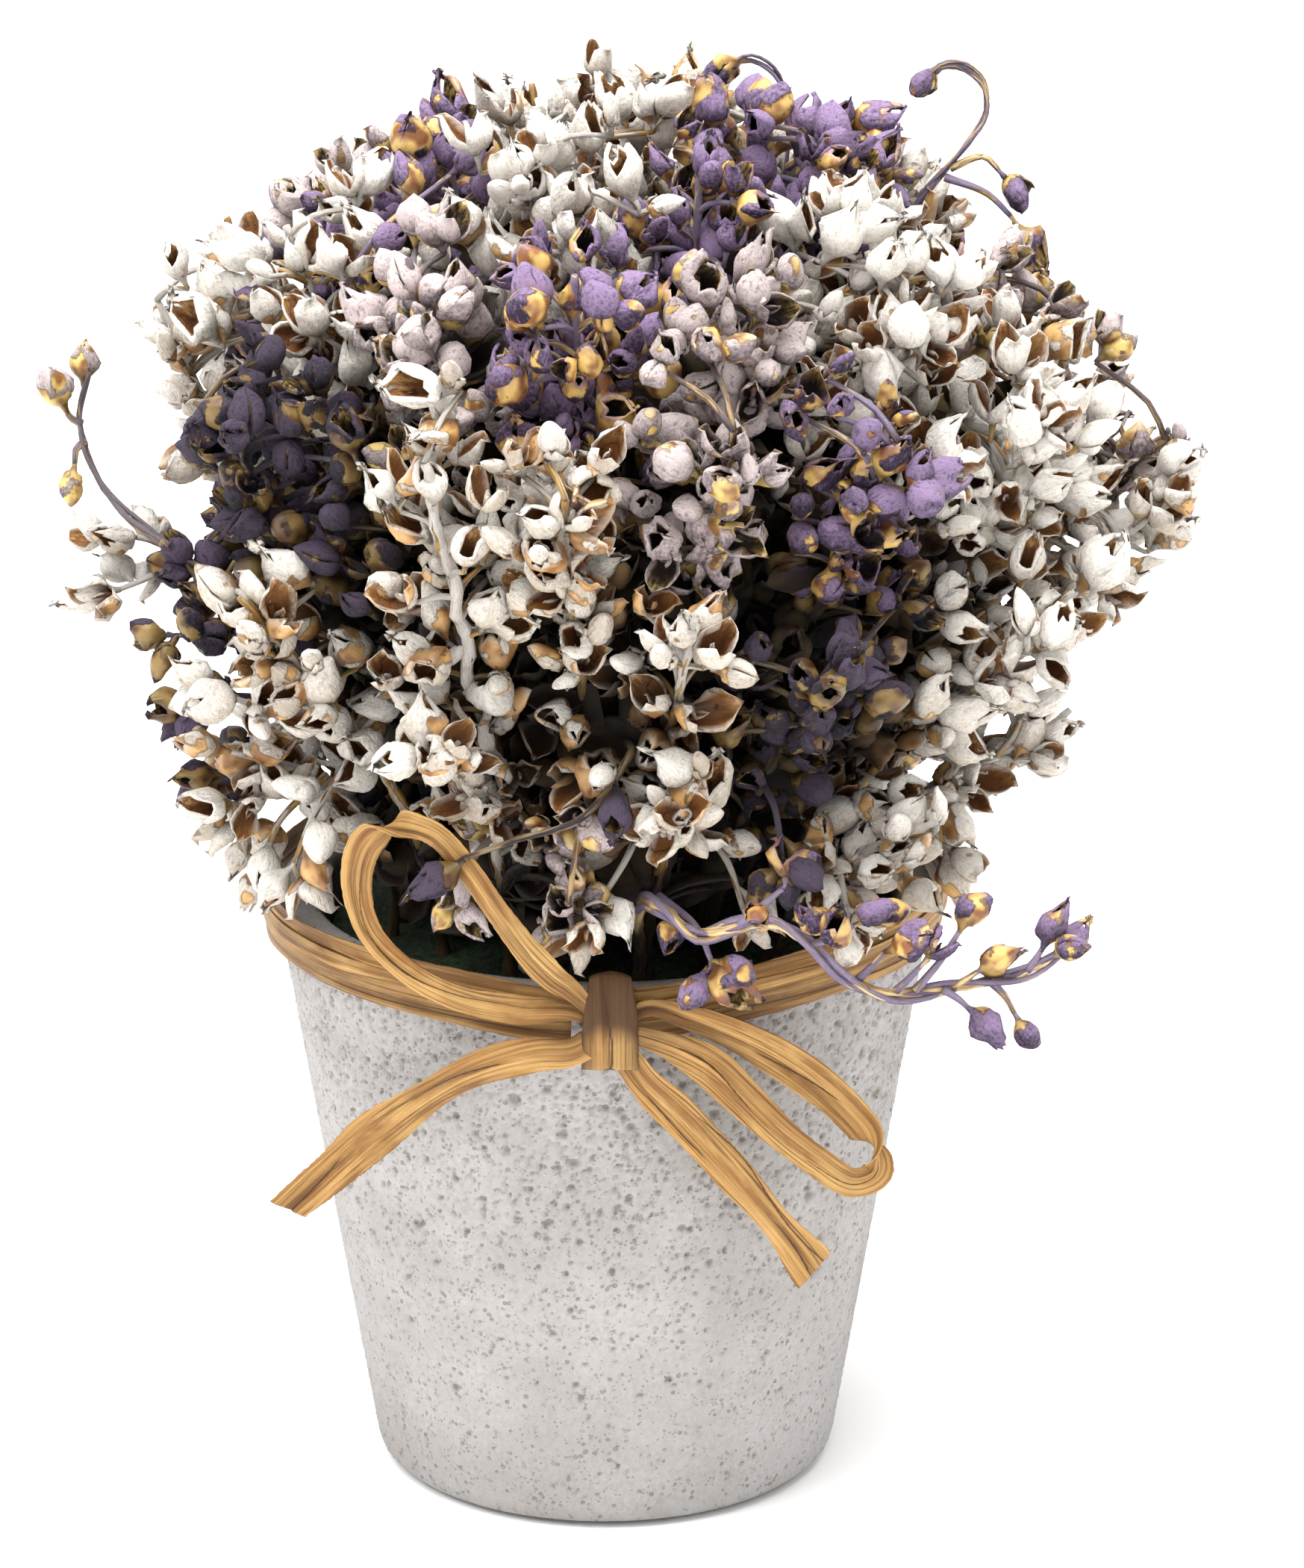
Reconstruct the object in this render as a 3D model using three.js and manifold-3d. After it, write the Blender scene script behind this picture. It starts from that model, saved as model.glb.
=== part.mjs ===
// Dried flowers in a pot: painted seed sprigs pushed into foam in a small porous pot, tied with a raffia bow.
// Millimetres, +Z up. The origin is the centre of the pot's underside and the front is -Y.

import * as THREE from 'three';
import { mergeVertices } from 'three/addons/utils/BufferGeometryUtils.js';
import Module from 'manifold-3d';

const wasm = await Module();
wasm.setup();

// Pot
const POT_HEIGHT = 67;
const POT_RIM_RADIUS = 37;
const POT_BASE_RADIUS = 25.7;
const POT_WALL = 4.5;
const POT_FLOOR = 6;
const RIM_ROUNDING = 1;
const BASE_ROUNDING = 2;
const POT_SEGMENTS = 64;

// Foam plug
const FOAM_TOP = 62;
const FOAM_DOME = 2;
const FOAM_CHAMFER = 1.5;
const FOAM_SEGMENTS = 40;

// Clearances between pieces that touch
const GAP = 0.35;

// Raffia
const RAFFIA_THICKNESS = 0.8;
const BAND_HEIGHT = 6.6;
const BAND_LEVEL = POT_HEIGHT - 0.6;
const BAND_CLEARANCE = GAP + 0.3;
const BAND_END_ANGLE = 5;
const BAND_DIP = 1.6;
const BAND_DIP_ANGLE = 22;
const BAND_TILT = 0.5;
const BAND_POINTS = 40;
const STRAND_WIDTH = 4.4;
const TAIL_WIDTH = 5;
const BAND_STEPS = 56;
const LOOP_STEPS = 26;
const TAIL_STEPS = 14;
const KNOT_WIDTH = 5.6;
const KNOT_HEIGHT = 11;
const KNOT_DEPTH = 2.6;
const KNOT_BEVEL = 0.6;
const KNOT_INSET = 0.5;
const KNOT_PLACE = 0.9;
const KNOT_LEVEL = POT_HEIGHT - 1.9;

// Bouquet
const BALL_CENTRE = new THREE.Vector3(3, 0, POT_HEIGHT + 44);
const ROOT_DEPTH = 9;
const ROOT_SPREAD = 27;
const LOWEST_HEAD = -45;
const ROOT_CROWDING = 0.8;
const LEAST_RISE = 16;
const RISE_SHARE = 0.45;
const NECK_SHARE = 0.8;
const STEM_RADIUS = 0.9;
const SPRIG_SIDES = 8;
const FRAME_STEPS = 60;

const POT_COLOUR = 0xdcdad8;
const FOAM_COLOUR = 0x26382a;
const RAFFIA_COLOUR = 0xc49a5a;
const HUSK_COLOURS = { white: 0xe6e0d8, purple: 0x6f5f96, grey: 0x8a7d90 };
const CEMENT_ROUGHNESS = 0.95;
const FOAM_ROUGHNESS = 1;
const RAFFIA_ROUGHNESS = 0.6;
const HUSK_ROUGHNESS = 0.8;

// One row per sprig: kind, azimuth of the head (0 is the front, positive to the right), elevation of the
// head seen from the middle of the ball, distance of the head from that middle, slope of the head above
// the horizontal, length and radius of the head. Degrees and millimetres.
const SPRIGS = [
  // heads that hang over the rim
  ['white', -72, -38, 46, 10, 24, 7.5],
  ['grey', -8, -40, 51, 4, 18, 5],
  ['white', 43, -36, 49, 6, 24, 7.5],
  ['white', 80, -34, 47, 8, 26, 8],
  ['grey', 122, -38, 48, 6, 26, 8],
  ['purple', 172, -38, 48, 6, 26, 8],
  ['white', -122, -38, 48, 6, 26, 8],
  // low heads
  ['purple', -84, -16, 45, 30, 30, 8],
  ['white', -53, -12, 45, 42, 30, 8],
  ['white', -26, -19, 47, 22, 22, 6],
  ['white', 9, -24, 47, 10, 20, 6.5],
  ['purple', 29, -10, 45, 32, 30, 8],
  ['white', 60, -11, 47, 34, 30, 8.5],
  ['white', 92, -6, 53, 38, 30, 8],
  ['purple', 126, -12, 47, 34, 30, 8.5],
  ['white', 160, -12, 47, 34, 30, 8.5],
  ['grey', -166, -12, 47, 34, 30, 8.5],
  ['white', -128, -12, 47, 34, 30, 8.5],
  // heads round the middle
  ['white', -100, -3, 53, 56, 26, 6.5],
  ['purple', -62, 12, 46, 50, 32, 8.5],
  ['white', -24, 6, 46, 66, 44, 7.5],
  ['white', -7, 9, 46, 52, 30, 7],
  ['white', 8, -3, 46, 42, 24, 5.5],
  ['grey', 13, 18, 46, 56, 28, 6.5],
  ['purple', 34, 14, 46, 50, 30, 7.5],
  ['white', 64, 13, 48, 50, 32, 8.5],
  ['grey', 96, 4, 57, 40, 24, 6.5],
  ['purple', 130, 13, 47, 52, 30, 8.5],
  ['white', 165, 13, 47, 52, 30, 8.5],
  ['white', -160, 13, 47, 52, 30, 8.5],
  ['purple', -122, 13, 47, 52, 30, 8.5],
  // upper heads
  ['white', -97, 16, 52, 70, 26, 6],
  ['white', -71, 36, 43, 64, 28, 8.5],
  ['grey', -38, 38, 43, 66, 26, 7.5],
  ['purple', -8, 35, 44, 66, 28, 8],
  ['grey', 21, 38, 44, 66, 26, 7],
  ['white', 48, 36, 45, 64, 28, 8],
  ['grey', 88, 20, 47, 60, 26, 7],
  ['white', 122, 36, 44, 66, 28, 8],
  ['purple', 157, 36, 44, 66, 28, 8],
  ['white', -164, 38, 43, 66, 26, 8],
  ['grey', -128, 36, 43, 66, 28, 8],
  // heads on top
  ['purple', -75, 62, 41, 78, 26, 7.5],
  ['white', -28, 64, 42, 80, 26, 7.5],
  ['purple', 22, 62, 42, 80, 28, 7.5],
  ['purple', 72, 60, 42, 76, 28, 7.5],
  ['white', 135, 64, 39, 78, 26, 8],
  ['white', -140, 66, 39, 80, 26, 8],
];

const DEGREES = Math.PI / 180;
const UP = new THREE.Vector3(0, 0, 1);

// The horizontal direction that an azimuth points in.
function compass(azimuth) {
  return new THREE.Vector3(Math.sin(azimuth * DEGREES), -Math.cos(azimuth * DEGREES), 0);
}

// Radius of the pot's outer wall at a height.
function wallRadius(height) {
  return THREE.MathUtils.mapLinear(height, 0, POT_HEIGHT, POT_BASE_RADIUS, POT_RIM_RADIUS);
}

// Positions only, with shared vertices merged and slivers that have no area dropped.
function welded(source) {
  const geometry = source.clone();
  geometry.deleteAttribute('normal');
  geometry.deleteAttribute('uv');
  const merged = mergeVertices(geometry, 1e-4);
  const corners = merged.index.array;
  const kept = [];
  for (let i = 0; i < corners.length; i += 3) {
    const [a, b, c] = [corners[i], corners[i + 1], corners[i + 2]];
    if (a !== b && b !== c && c !== a) kept.push(a, b, c);
  }
  merged.setIndex(kept);
  return merged;
}

function toSolid(source) {
  const geometry = welded(source);
  const vertProperties = new Float32Array(geometry.attributes.position.array);
  const triVerts = new Uint32Array(geometry.index.array);
  return new wasm.Manifold(new wasm.Mesh({ numProp: 3, vertProperties, triVerts }));
}

function toGeometry(solid) {
  const mesh = solid.getMesh();
  const geometry = new THREE.BufferGeometry();
  geometry.setAttribute('position', new THREE.BufferAttribute(mesh.vertProperties, 3));
  geometry.setIndex(new THREE.BufferAttribute(mesh.triVerts, 1));
  return geometry;
}

// A solid of revolution about the Z axis from [radius, height] pairs.
function turned(profile, segments) {
  const points = profile.map(([radius, height]) => new THREE.Vector2(radius, height));
  return new THREE.LatheGeometry(points, segments).rotateX(Math.PI / 2);
}

function pot() {
  const innerRim = POT_RIM_RADIUS - POT_WALL;
  const innerFloor = wallRadius(POT_FLOOR) - POT_WALL;
  return turned([
    [0, 0],
    [POT_BASE_RADIUS - BASE_ROUNDING, 0],
    [POT_BASE_RADIUS - 0.3 * BASE_ROUNDING, 0.3 * BASE_ROUNDING],
    [wallRadius(BASE_ROUNDING), BASE_ROUNDING],
    [wallRadius(POT_HEIGHT - RIM_ROUNDING), POT_HEIGHT - RIM_ROUNDING],
    [POT_RIM_RADIUS - 0.3 * RIM_ROUNDING, POT_HEIGHT - 0.3 * RIM_ROUNDING],
    [POT_RIM_RADIUS - RIM_ROUNDING, POT_HEIGHT],
    [innerRim + RIM_ROUNDING, POT_HEIGHT],
    [innerRim, POT_HEIGHT - RIM_ROUNDING],
    [innerFloor, POT_FLOOR],
    [0, POT_FLOOR],
  ], POT_SEGMENTS);
}

// The foam fills the pot, with a low dome on top, and is drilled by every stem.
function foam(stems) {
  const inside = (height) => wallRadius(height) - POT_WALL - GAP;
  const bottom = POT_FLOOR + GAP;
  const plug = toSolid(turned([
    [0, bottom],
    [inside(bottom) - FOAM_CHAMFER, bottom],
    [inside(bottom + FOAM_CHAMFER), bottom + FOAM_CHAMFER],
    [inside(FOAM_TOP - FOAM_CHAMFER), FOAM_TOP - FOAM_CHAMFER],
    [inside(FOAM_TOP) - FOAM_CHAMFER, FOAM_TOP],
    [0, FOAM_TOP + FOAM_DOME],
  ], FOAM_SEGMENTS));
  return toGeometry(stems.reduce((solid, stem) => solid.subtract(stem), plug));
}

// A smooth route whose flat side keeps facing away from the pot's axis, or where a function says.
class RaffiaRoute extends THREE.CatmullRomCurve3 {
  constructor(points, facing = (place) => new THREE.Vector3(place.x, place.y, 0)) {
    super(points.map((point) => new THREE.Vector3(...point)), false, 'centripetal');
    this.facing = facing;
  }

  computeFrenetFrames(steps) {
    const frames = { tangents: [], normals: [], binormals: [] };
    for (let step = 0; step <= steps; step += 1) {
      const tangent = this.getTangentAt(step / steps);
      const normal = this.facing(this.getPointAt(step / steps), step / steps);
      normal.addScaledVector(tangent, -normal.dot(tangent)).normalize();
      frames.tangents.push(tangent);
      frames.normals.push(normal);
      frames.binormals.push(new THREE.Vector3().crossVectors(tangent, normal));
    }
    return frames;
  }
}

// A flat strip with bevelled edges along a route.
function strip(route, width, steps) {
  const [across, through] = [width / 2, RAFFIA_THICKNESS / 2];
  const section = new THREE.Shape([
    new THREE.Vector2(-through, through - across),
    new THREE.Vector2(0, -across),
    new THREE.Vector2(through, through - across),
    new THREE.Vector2(through, across - through),
    new THREE.Vector2(0, across),
    new THREE.Vector2(-through, across - through),
  ]);
  return new THREE.ExtrudeGeometry(section, { steps, extrudePath: route });
}

// The band runs once round the rim, from one side of the knot to the other, and dips towards the knot.
function raffiaBand() {
  const points = [];
  const radius = POT_RIM_RADIUS + BAND_CLEARANCE + RAFFIA_THICKNESS / 2;
  const lastAngle = 360 - BAND_END_ANGLE;
  for (let turn = BAND_END_ANGLE; turn <= lastAngle; turn += (lastAngle - BAND_END_ANGLE) / BAND_POINTS) {
    const dip = BAND_DIP * Math.exp(-((Math.min(turn, 360 - turn) / BAND_DIP_ANGLE) ** 2));
    const tilt = BAND_TILT * Math.sin(turn * DEGREES);
    const place = compass(turn).multiplyScalar(radius);
    points.push([place.x, place.y, BAND_LEVEL - dip + tilt]);
  }
  return strip(new RaffiaRoute(points), BAND_HEIGHT, BAND_STEPS);
}

// The wrap at the middle of the bow: a flat pillow standing in front of the band.
function raffiaKnot() {
  const outline = new THREE.Shape();
  outline.absellipse(0, 0, KNOT_DEPTH / 2, KNOT_HEIGHT / 2, 0, 2 * Math.PI);
  const depth = KNOT_WIDTH - 2 * KNOT_BEVEL;
  const knot = new THREE.ExtrudeGeometry(outline, {
    depth, curveSegments: 10, bevelThickness: KNOT_BEVEL, bevelSize: KNOT_INSET, bevelOffset: -KNOT_INSET,
    bevelSegments: 1,
  });
  knot.translate(0, 0, -depth / 2);
  knot.rotateX(Math.PI / 2);
  knot.rotateZ(Math.PI / 2);
  const front = POT_RIM_RADIUS + BAND_CLEARANCE + RAFFIA_THICKNESS + GAP + KNOT_DEPTH / 2;
  return knot.translate(KNOT_PLACE, -front, KNOT_LEVEL);
}

const OUTWARD = () => new THREE.Vector3(0, -1, 0);

// The left loop runs along the band, stands up over the rim and comes back down to the knot.
const LEFT_LOOP = [
  [-3, -39.3, 65.8], [-9, -39.2, 66], [-15, -38.5, 67], [-20.6, -37, 69.6], [-24.8, -35.8, 73.8],
  [-26, -35.6, 79], [-24.8, -36.4, 83.6], [-21.6, -38.4, 86.4], [-17.4, -40.4, 86], [-13.8, -41.8, 82.4],
  [-10.8, -42.2, 77.8], [-7.8, -41.8, 73.4], [-5.2, -41.2, 70.4], [-3, -40.8, 68.6],
];

// The right loop hangs down beside the pot and folds back under itself.
const RIGHT_LOOP = [
  [4.8, -39.3, 66.2], [9, -39.2, 65.2], [15.5, -38.2, 62.2], [21.5, -36.6, 57.8], [26.6, -35, 52.4],
  [29.4, -34, 48], [29.4, -34, 45.4], [27, -35, 44.8], [23, -36.6, 47.8], [19, -38.2, 51.6],
  [15, -39.6, 56.2], [11.4, -40.4, 60], [8, -40.6, 62], [4.8, -40.6, 63.2],
];

// The tails: cut ends hanging free in front of the pot.
const LEFT_TAIL = [
  [-3, -40.6, 61.8], [-7, -40.4, 61.4], [-13, -39.4, 59.4], [-18.6, -37.6, 55.8], [-24, -35.4, 50.8],
  [-29.4, -33, 45], [-34, -31, 40],
];
const RIGHT_TAIL = [
  [4.2, -40, 58.6], [8, -39.6, 54.4], [12.4, -38.6, 49], [16.6, -37.4, 43.6], [20.2, -36, 38.6],
  [22.8, -34.8, 34.4],
];

// Twigs that stray out of the ball: kind, head length, head radius and the route of the stem.
const TWIGS = [
  ['purple', 30, 4.2, [
    [4, -20, 53], [4, -26, 66], [4.2, -33.6, 76], [7, -39.6, 77], [10, -41.6, 75.2], [14.4, -42.4, 76.6],
    [18, -42.4, 76.8], [21.6, -42.4, 74.6], [25, -42.2, 71.2], [30, -41.6, 68.6], [37, -39.6, 68.6],
    [45, -37, 69.4], [50, -35.6, 72.4],
  ]],
  ['grey', 18, 4, [
    [-13, -1, 53], [-16, -2, 74], [-32, -4, 96], [-47, -5, 107], [-53, -5, 112], [-55.8, -5, 117],
    [-56.6, -5, 122], [-55.4, -5, 127],
  ]],
  ['purple', 20, 3.8, [
    [3, 3, 53], [6, 4, 90], [14, 5, 130], [19.6, 5.4, 146], [20, 5, 153], [18.6, 4.4, 157.6],
    [15.6, 4, 159.4], [12.6, 3.6, 157.6],
  ]],
  ['purple', 24, 3.8, [
    [7, 5, 53], [11, 8, 95], [24, 11, 126], [34, 12, 141], [39, 12, 147], [41.4, 12, 151.6],
    [40.4, 12, 155.4], [37.4, 12, 156.8], [34, 12, 156.4],
  ]],
];

// The centreline of a head in the ball: it leaves the foam upright, leans out and ends along its slope.
function headLine([, azimuth, elevation, distance, slope, length]) {
  const side = compass(azimuth);
  const fromCentre = side.clone().multiplyScalar(Math.cos(elevation * DEGREES));
  fromCentre.addScaledVector(UP, Math.sin(elevation * DEGREES));
  const middle = BALL_CENTRE.clone().addScaledVector(fromCentre, distance);
  const heading = side.clone().multiplyScalar(Math.cos(slope * DEGREES));
  heading.addScaledVector(UP, Math.sin(slope * DEGREES));
  const inward = (elevation - LOWEST_HEAD) / (90 - LOWEST_HEAD);
  const rootRadius = ROOT_SPREAD * (1 - inward) ** ROOT_CROWDING;
  const root = side.clone().multiplyScalar(rootRadius).setZ(FOAM_TOP - ROOT_DEPTH);
  const tip = middle.clone().addScaledVector(heading, length / 2);
  const neck = middle.clone().addScaledVector(heading, -NECK_SHARE * length);
  const rise = Math.max(LEAST_RISE, RISE_SHARE * (neck.z - root.z));
  return new THREE.CubicBezierCurve3(root, root.clone().addScaledVector(UP, rise), neck, tip);
}

// A thin stem that swells into a long head and closes at the tip, bent along its centreline.
function sprigGeometry({ line, headLength, headRadius }, extra = 0) {
  const start = 1 - headLength / line.getLength();
  const stem = STEM_RADIUS + extra;
  const head = (share) => start + share * (1 - start);
  const profile = [
    [0, 0], [stem, 0], [stem, 0.25 * start], [stem, 0.5 * start], [stem, 0.75 * start], [stem, start],
    [0.72 * headRadius + extra, head(0.2)], [headRadius + extra, head(0.45)],
    [0.9 * headRadius + extra, head(0.72)], [0.55 * headRadius + extra, head(0.92)], [0, 1],
  ];
  const points = profile.map(([radius, share]) => new THREE.Vector2(radius, share));
  const geometry = welded(new THREE.LatheGeometry(points, SPRIG_SIDES));
  const frames = line.computeFrenetFrames(FRAME_STEPS);
  const position = geometry.attributes.position;
  for (let i = 0; i < position.count; i += 1) {
    const step = Math.round(position.getY(i) * FRAME_STEPS);
    const place = line.getPointAt(step / FRAME_STEPS);
    place.addScaledVector(frames.normals[step], position.getX(i));
    place.addScaledVector(frames.binormals[step], -position.getZ(i));
    position.setXYZ(i, place.x, place.y, place.z);
  }
  return geometry;
}

function largestPiece(solid) {
  const pieces = solid.decompose();
  return pieces.reduce((best, piece) => (piece.volume() > best.volume() ? piece : best));
}

// Every sprig gives way to the ones before it, so that no two overlap.
function sprigs() {
  const twigs = TWIGS.map(([kind, headLength, headRadius, route]) => ({
    kind, headLength, headRadius,
    line: new THREE.CatmullRomCurve3(route.map((point) => new THREE.Vector3(...point))),
  }));
  const heads = SPRIGS.map((row) => ({
    kind: row[0], headLength: row[5], headRadius: row[6], line: headLine(row),
  }));
  const made = [];
  for (const sprig of [...twigs, ...heads]) {
    let solid = toSolid(sprigGeometry(sprig));
    for (const earlier of made) solid = solid.subtract(earlier.grown);
    made.push({ kind: sprig.kind, solid: largestPiece(solid), grown: toSolid(sprigGeometry(sprig, GAP)) });
  }
  return made;
}

const bouquet = new THREE.Group();

function add(name, geometry, colour, roughness) {
  const material = new THREE.MeshStandardMaterial({ color: colour, roughness, metalness: 0 });
  const mesh = new THREE.Mesh(geometry, material);
  mesh.name = name;
  bouquet.add(mesh);
}

const made = sprigs();
add('pot', pot(), POT_COLOUR, CEMENT_ROUGHNESS);
add('floral_foam', foam(made.map((sprig) => sprig.grown)), FOAM_COLOUR, FOAM_ROUGHNESS);
const raffia = {
  raffia_band: raffiaBand(),
  raffia_knot: raffiaKnot(),
  raffia_loop_left: strip(new RaffiaRoute(LEFT_LOOP, OUTWARD), STRAND_WIDTH, LOOP_STEPS),
  raffia_loop_right: strip(new RaffiaRoute(RIGHT_LOOP, OUTWARD), STRAND_WIDTH, LOOP_STEPS),
  raffia_tail_left: strip(new RaffiaRoute(LEFT_TAIL, OUTWARD), TAIL_WIDTH, TAIL_STEPS),
  raffia_tail_right: strip(new RaffiaRoute(RIGHT_TAIL, OUTWARD), TAIL_WIDTH, TAIL_STEPS),
};
for (const [name, geometry] of Object.entries(raffia)) add(name, geometry, RAFFIA_COLOUR, RAFFIA_ROUGHNESS);
const counts = {};
for (const { kind, solid } of made) {
  counts[kind] = (counts[kind] ?? 0) + 1;
  const name = `${kind}_sprig_${String(counts[kind]).padStart(2, '0')}`;
  add(name, toGeometry(solid), HUSK_COLOURS[kind], HUSK_ROUGHNESS);
}

export default bouquet;
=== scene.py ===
"""The looks of the dried flowers in a pot: painted seed sprigs, foam, a porous pot and a raffia bow."""

import math

import bpy
import numpy as np
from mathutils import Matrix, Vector


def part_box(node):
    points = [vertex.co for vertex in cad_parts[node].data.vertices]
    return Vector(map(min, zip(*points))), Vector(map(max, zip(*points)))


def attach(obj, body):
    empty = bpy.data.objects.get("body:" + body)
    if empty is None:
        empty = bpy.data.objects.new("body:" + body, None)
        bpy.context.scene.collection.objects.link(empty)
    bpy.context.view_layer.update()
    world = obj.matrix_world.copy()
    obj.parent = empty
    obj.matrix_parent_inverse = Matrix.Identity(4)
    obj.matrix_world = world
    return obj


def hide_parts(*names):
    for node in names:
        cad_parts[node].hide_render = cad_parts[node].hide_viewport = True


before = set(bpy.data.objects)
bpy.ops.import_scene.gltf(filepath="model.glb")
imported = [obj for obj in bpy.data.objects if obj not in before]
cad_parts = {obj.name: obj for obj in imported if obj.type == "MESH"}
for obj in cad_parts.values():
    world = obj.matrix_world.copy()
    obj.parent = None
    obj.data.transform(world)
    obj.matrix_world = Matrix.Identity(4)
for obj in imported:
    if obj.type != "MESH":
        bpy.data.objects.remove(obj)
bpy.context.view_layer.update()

MM = 0.001
GOLDEN_ANGLE = math.radians(137.5)

POT_HIGH = np.array(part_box("pot")[1])
FOAM_LOW, FOAM_HIGH = (np.array(corner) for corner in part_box("floral_foam"))
RIM_RADIUS = POT_HIGH[0]
RIM_HEIGHT = POT_HIGH[2]
BALL_CENTRE = np.array([3 * MM, 0.0, RIM_HEIGHT + 44 * MM])


# ---------------------------------------------------------------- camera and lights

CAMERA_TILT = math.radians(18.0)
CAMERA_DISTANCE = 0.7
CAMERA_LENS = 144.0
CAMERA_AIM = Vector((5.3 * MM, 3.3 * MM, RIM_HEIGHT + 10.3 * MM))
WORLD_STRENGTH = 1.0
# Where each soft light stands, how wide it is and its power in watts.
SOFT_LIGHTS = {
    "key_light": ((-0.60, -0.48, 1.10), 0.80, 10.5),
    "top_light": ((0.05, -0.10, 1.25), 0.90, 24.0),
    "fill_light": ((0.85, -0.60, 0.50), 0.70, 0.1),
}


def add_camera():
    data = bpy.data.cameras.new("camera")
    data.lens = CAMERA_LENS
    data.sensor_width = 36.0
    data.clip_start = 0.01
    data.clip_end = 20.0
    camera = bpy.data.objects.new("camera", data)
    ahead = Vector((0.0, math.cos(CAMERA_TILT), -math.sin(CAMERA_TILT)))
    camera.location = CAMERA_AIM - ahead * CAMERA_DISTANCE
    camera.rotation_euler = ahead.to_track_quat("-Z", "Y").to_euler()
    bpy.context.scene.collection.objects.link(camera)
    bpy.context.scene.camera = camera


def add_softbox(name, place, size, power):
    data = bpy.data.lights.new(name, "AREA")
    data.shape = "DISK"
    data.size = size
    data.energy = power
    light = bpy.data.objects.new(name, data)
    light.location = place
    towards = Vector(BALL_CENTRE) - light.location
    light.rotation_euler = towards.to_track_quat("-Z", "Y").to_euler()
    bpy.context.scene.collection.objects.link(light)


def add_lights():
    for name, (place, size, power) in SOFT_LIGHTS.items():
        add_softbox(name, place, size, power)
    world = bpy.data.worlds.new("studio")
    world.use_nodes = True
    background = world.node_tree.nodes["Background"]
    background.inputs["Color"].default_value = (1.0, 1.0, 1.0, 1.0)
    background.inputs["Strength"].default_value = WORLD_STRENGTH
    bpy.context.scene.world = world
    bpy.context.scene.view_settings.view_transform = "Standard"


# ---------------------------------------------------------------- building meshes


class Shape:
    """Points, faces and per-point values of one piece, gathered part by part."""

    def __init__(self, *channels):
        self.points = []
        self.quads = []
        self.triangles = []
        self.slots = ([], [])
        self.values = {channel: [] for channel in channels}
        self.count = 0

    def add(self, points, quads, triangles, slot=0, **values):
        self.points.append(points)
        self.quads.append(quads + self.count)
        self.triangles.append(triangles + self.count)
        self.slots[0].append(np.full(len(quads), slot))
        self.slots[1].append(np.full(len(triangles), slot))
        for channel, gathered in self.values.items():
            value = np.asarray(values[channel], float)
            shape = (len(points), 3) if channel == "local" else (len(points),)
            gathered.append(np.broadcast_to(value, shape))
        self.count += len(points)

    def build(self, name, materials):
        points = np.vstack(self.points)
        quads, triangles = np.vstack(self.quads), np.vstack(self.triangles)
        mesh = bpy.data.meshes.new(name)
        mesh.vertices.add(len(points))
        mesh.vertices.foreach_set("co", points.astype(np.float32).ravel())
        corners = np.concatenate([quads.ravel(), triangles.ravel()])
        mesh.loops.add(len(corners))
        mesh.loops.foreach_set("vertex_index", corners.astype(np.int32))
        starts = np.concatenate([
            np.arange(len(quads)) * 4,
            quads.size + np.arange(len(triangles)) * 3,
        ])
        mesh.polygons.add(len(starts))
        mesh.polygons.foreach_set("loop_start", starts.astype(np.int32))
        slots = np.concatenate(self.slots[0] + self.slots[1])
        mesh.polygons.foreach_set("material_index", slots.astype(np.int32))
        mesh.update(calc_edges=True)
        mesh.validate()
        mesh.shade_smooth()
        for channel, gathered in self.values.items():
            kind, key = ("FLOAT_VECTOR", "vector") if channel == "local" else ("FLOAT", "value")
            attribute = mesh.attributes.new(channel, kind, "POINT")
            merged = np.concatenate(gathered).astype(np.float32)
            attribute.data.foreach_set(key, merged.ravel())
        for material in materials:
            mesh.materials.append(material)
        piece = bpy.data.objects.new(name, mesh)
        bpy.context.scene.collection.objects.link(piece)
        return piece


def stand_in(piece, node):
    """Put a finished piece in the place of its CAD node."""
    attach(piece, "root")
    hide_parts(node)


def unit(vectors):
    return vectors / np.maximum(np.linalg.norm(vectors, axis=-1, keepdims=True), 1e-12)


def ring_quads(rows, around):
    """Faces between neighbouring closed rings that hold the same number of points."""
    row = np.arange(rows - 1)[:, None] * around
    here = np.arange(around)[None, :]
    after = (here + 1) % around
    corners = [row + here, row + after, row + around + after, row + around + here]
    return np.stack(corners, axis=-1).reshape(-1, 4)


def sealed(rings, first_pole, last_pole):
    """A closed surface through a stack of rings, drawn together to a point at each end."""
    rows, around, _ = rings.shape
    points = np.vstack([rings.reshape(-1, 3), [first_pole], [last_pole]])
    here = np.arange(around)
    after = (here + 1) % around
    top = (rows - 1) * around
    low_cap = np.stack([np.full(around, rows * around), after, here], axis=1)
    high_cap = np.stack([np.full(around, rows * around + 1), here + top, after + top], axis=1)
    return points, ring_quads(rows, around), np.vstack([low_cap, high_cap])


def side_axes(directions):
    """Two directions at right angles to each given one and to each other."""
    helper = np.where(np.abs(directions[..., 2:]) < 0.9, [0.0, 0.0, 1.0], [1.0, 0.0, 0.0])
    first = unit(np.cross(directions, helper))
    return first, np.cross(directions, first)


def carried_axes(line):
    """Directions across a line at each of its points, turning as little as possible along it."""
    tangents = unit(np.gradient(line, axis=0))
    first = side_axes(tangents[0])[0]
    firsts = []
    for tangent in tangents:
        first = unit(first - tangent * (first @ tangent))
        firsts.append(first)
    firsts = np.array(firsts)
    return tangents, firsts, np.cross(tangents, firsts)


def tube(line, radii, sides):
    tangents, first, second = carried_axes(line)
    angle = np.arange(sides) * 2 * math.pi / sides
    ring = np.cos(angle)[None, :, None] * first[:, None] + np.sin(angle)[None, :, None] * second[:, None]
    rings = line[:, None] + ring * np.asarray(radii)[:, None, None]
    return sealed(rings, line[0], line[-1])


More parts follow.
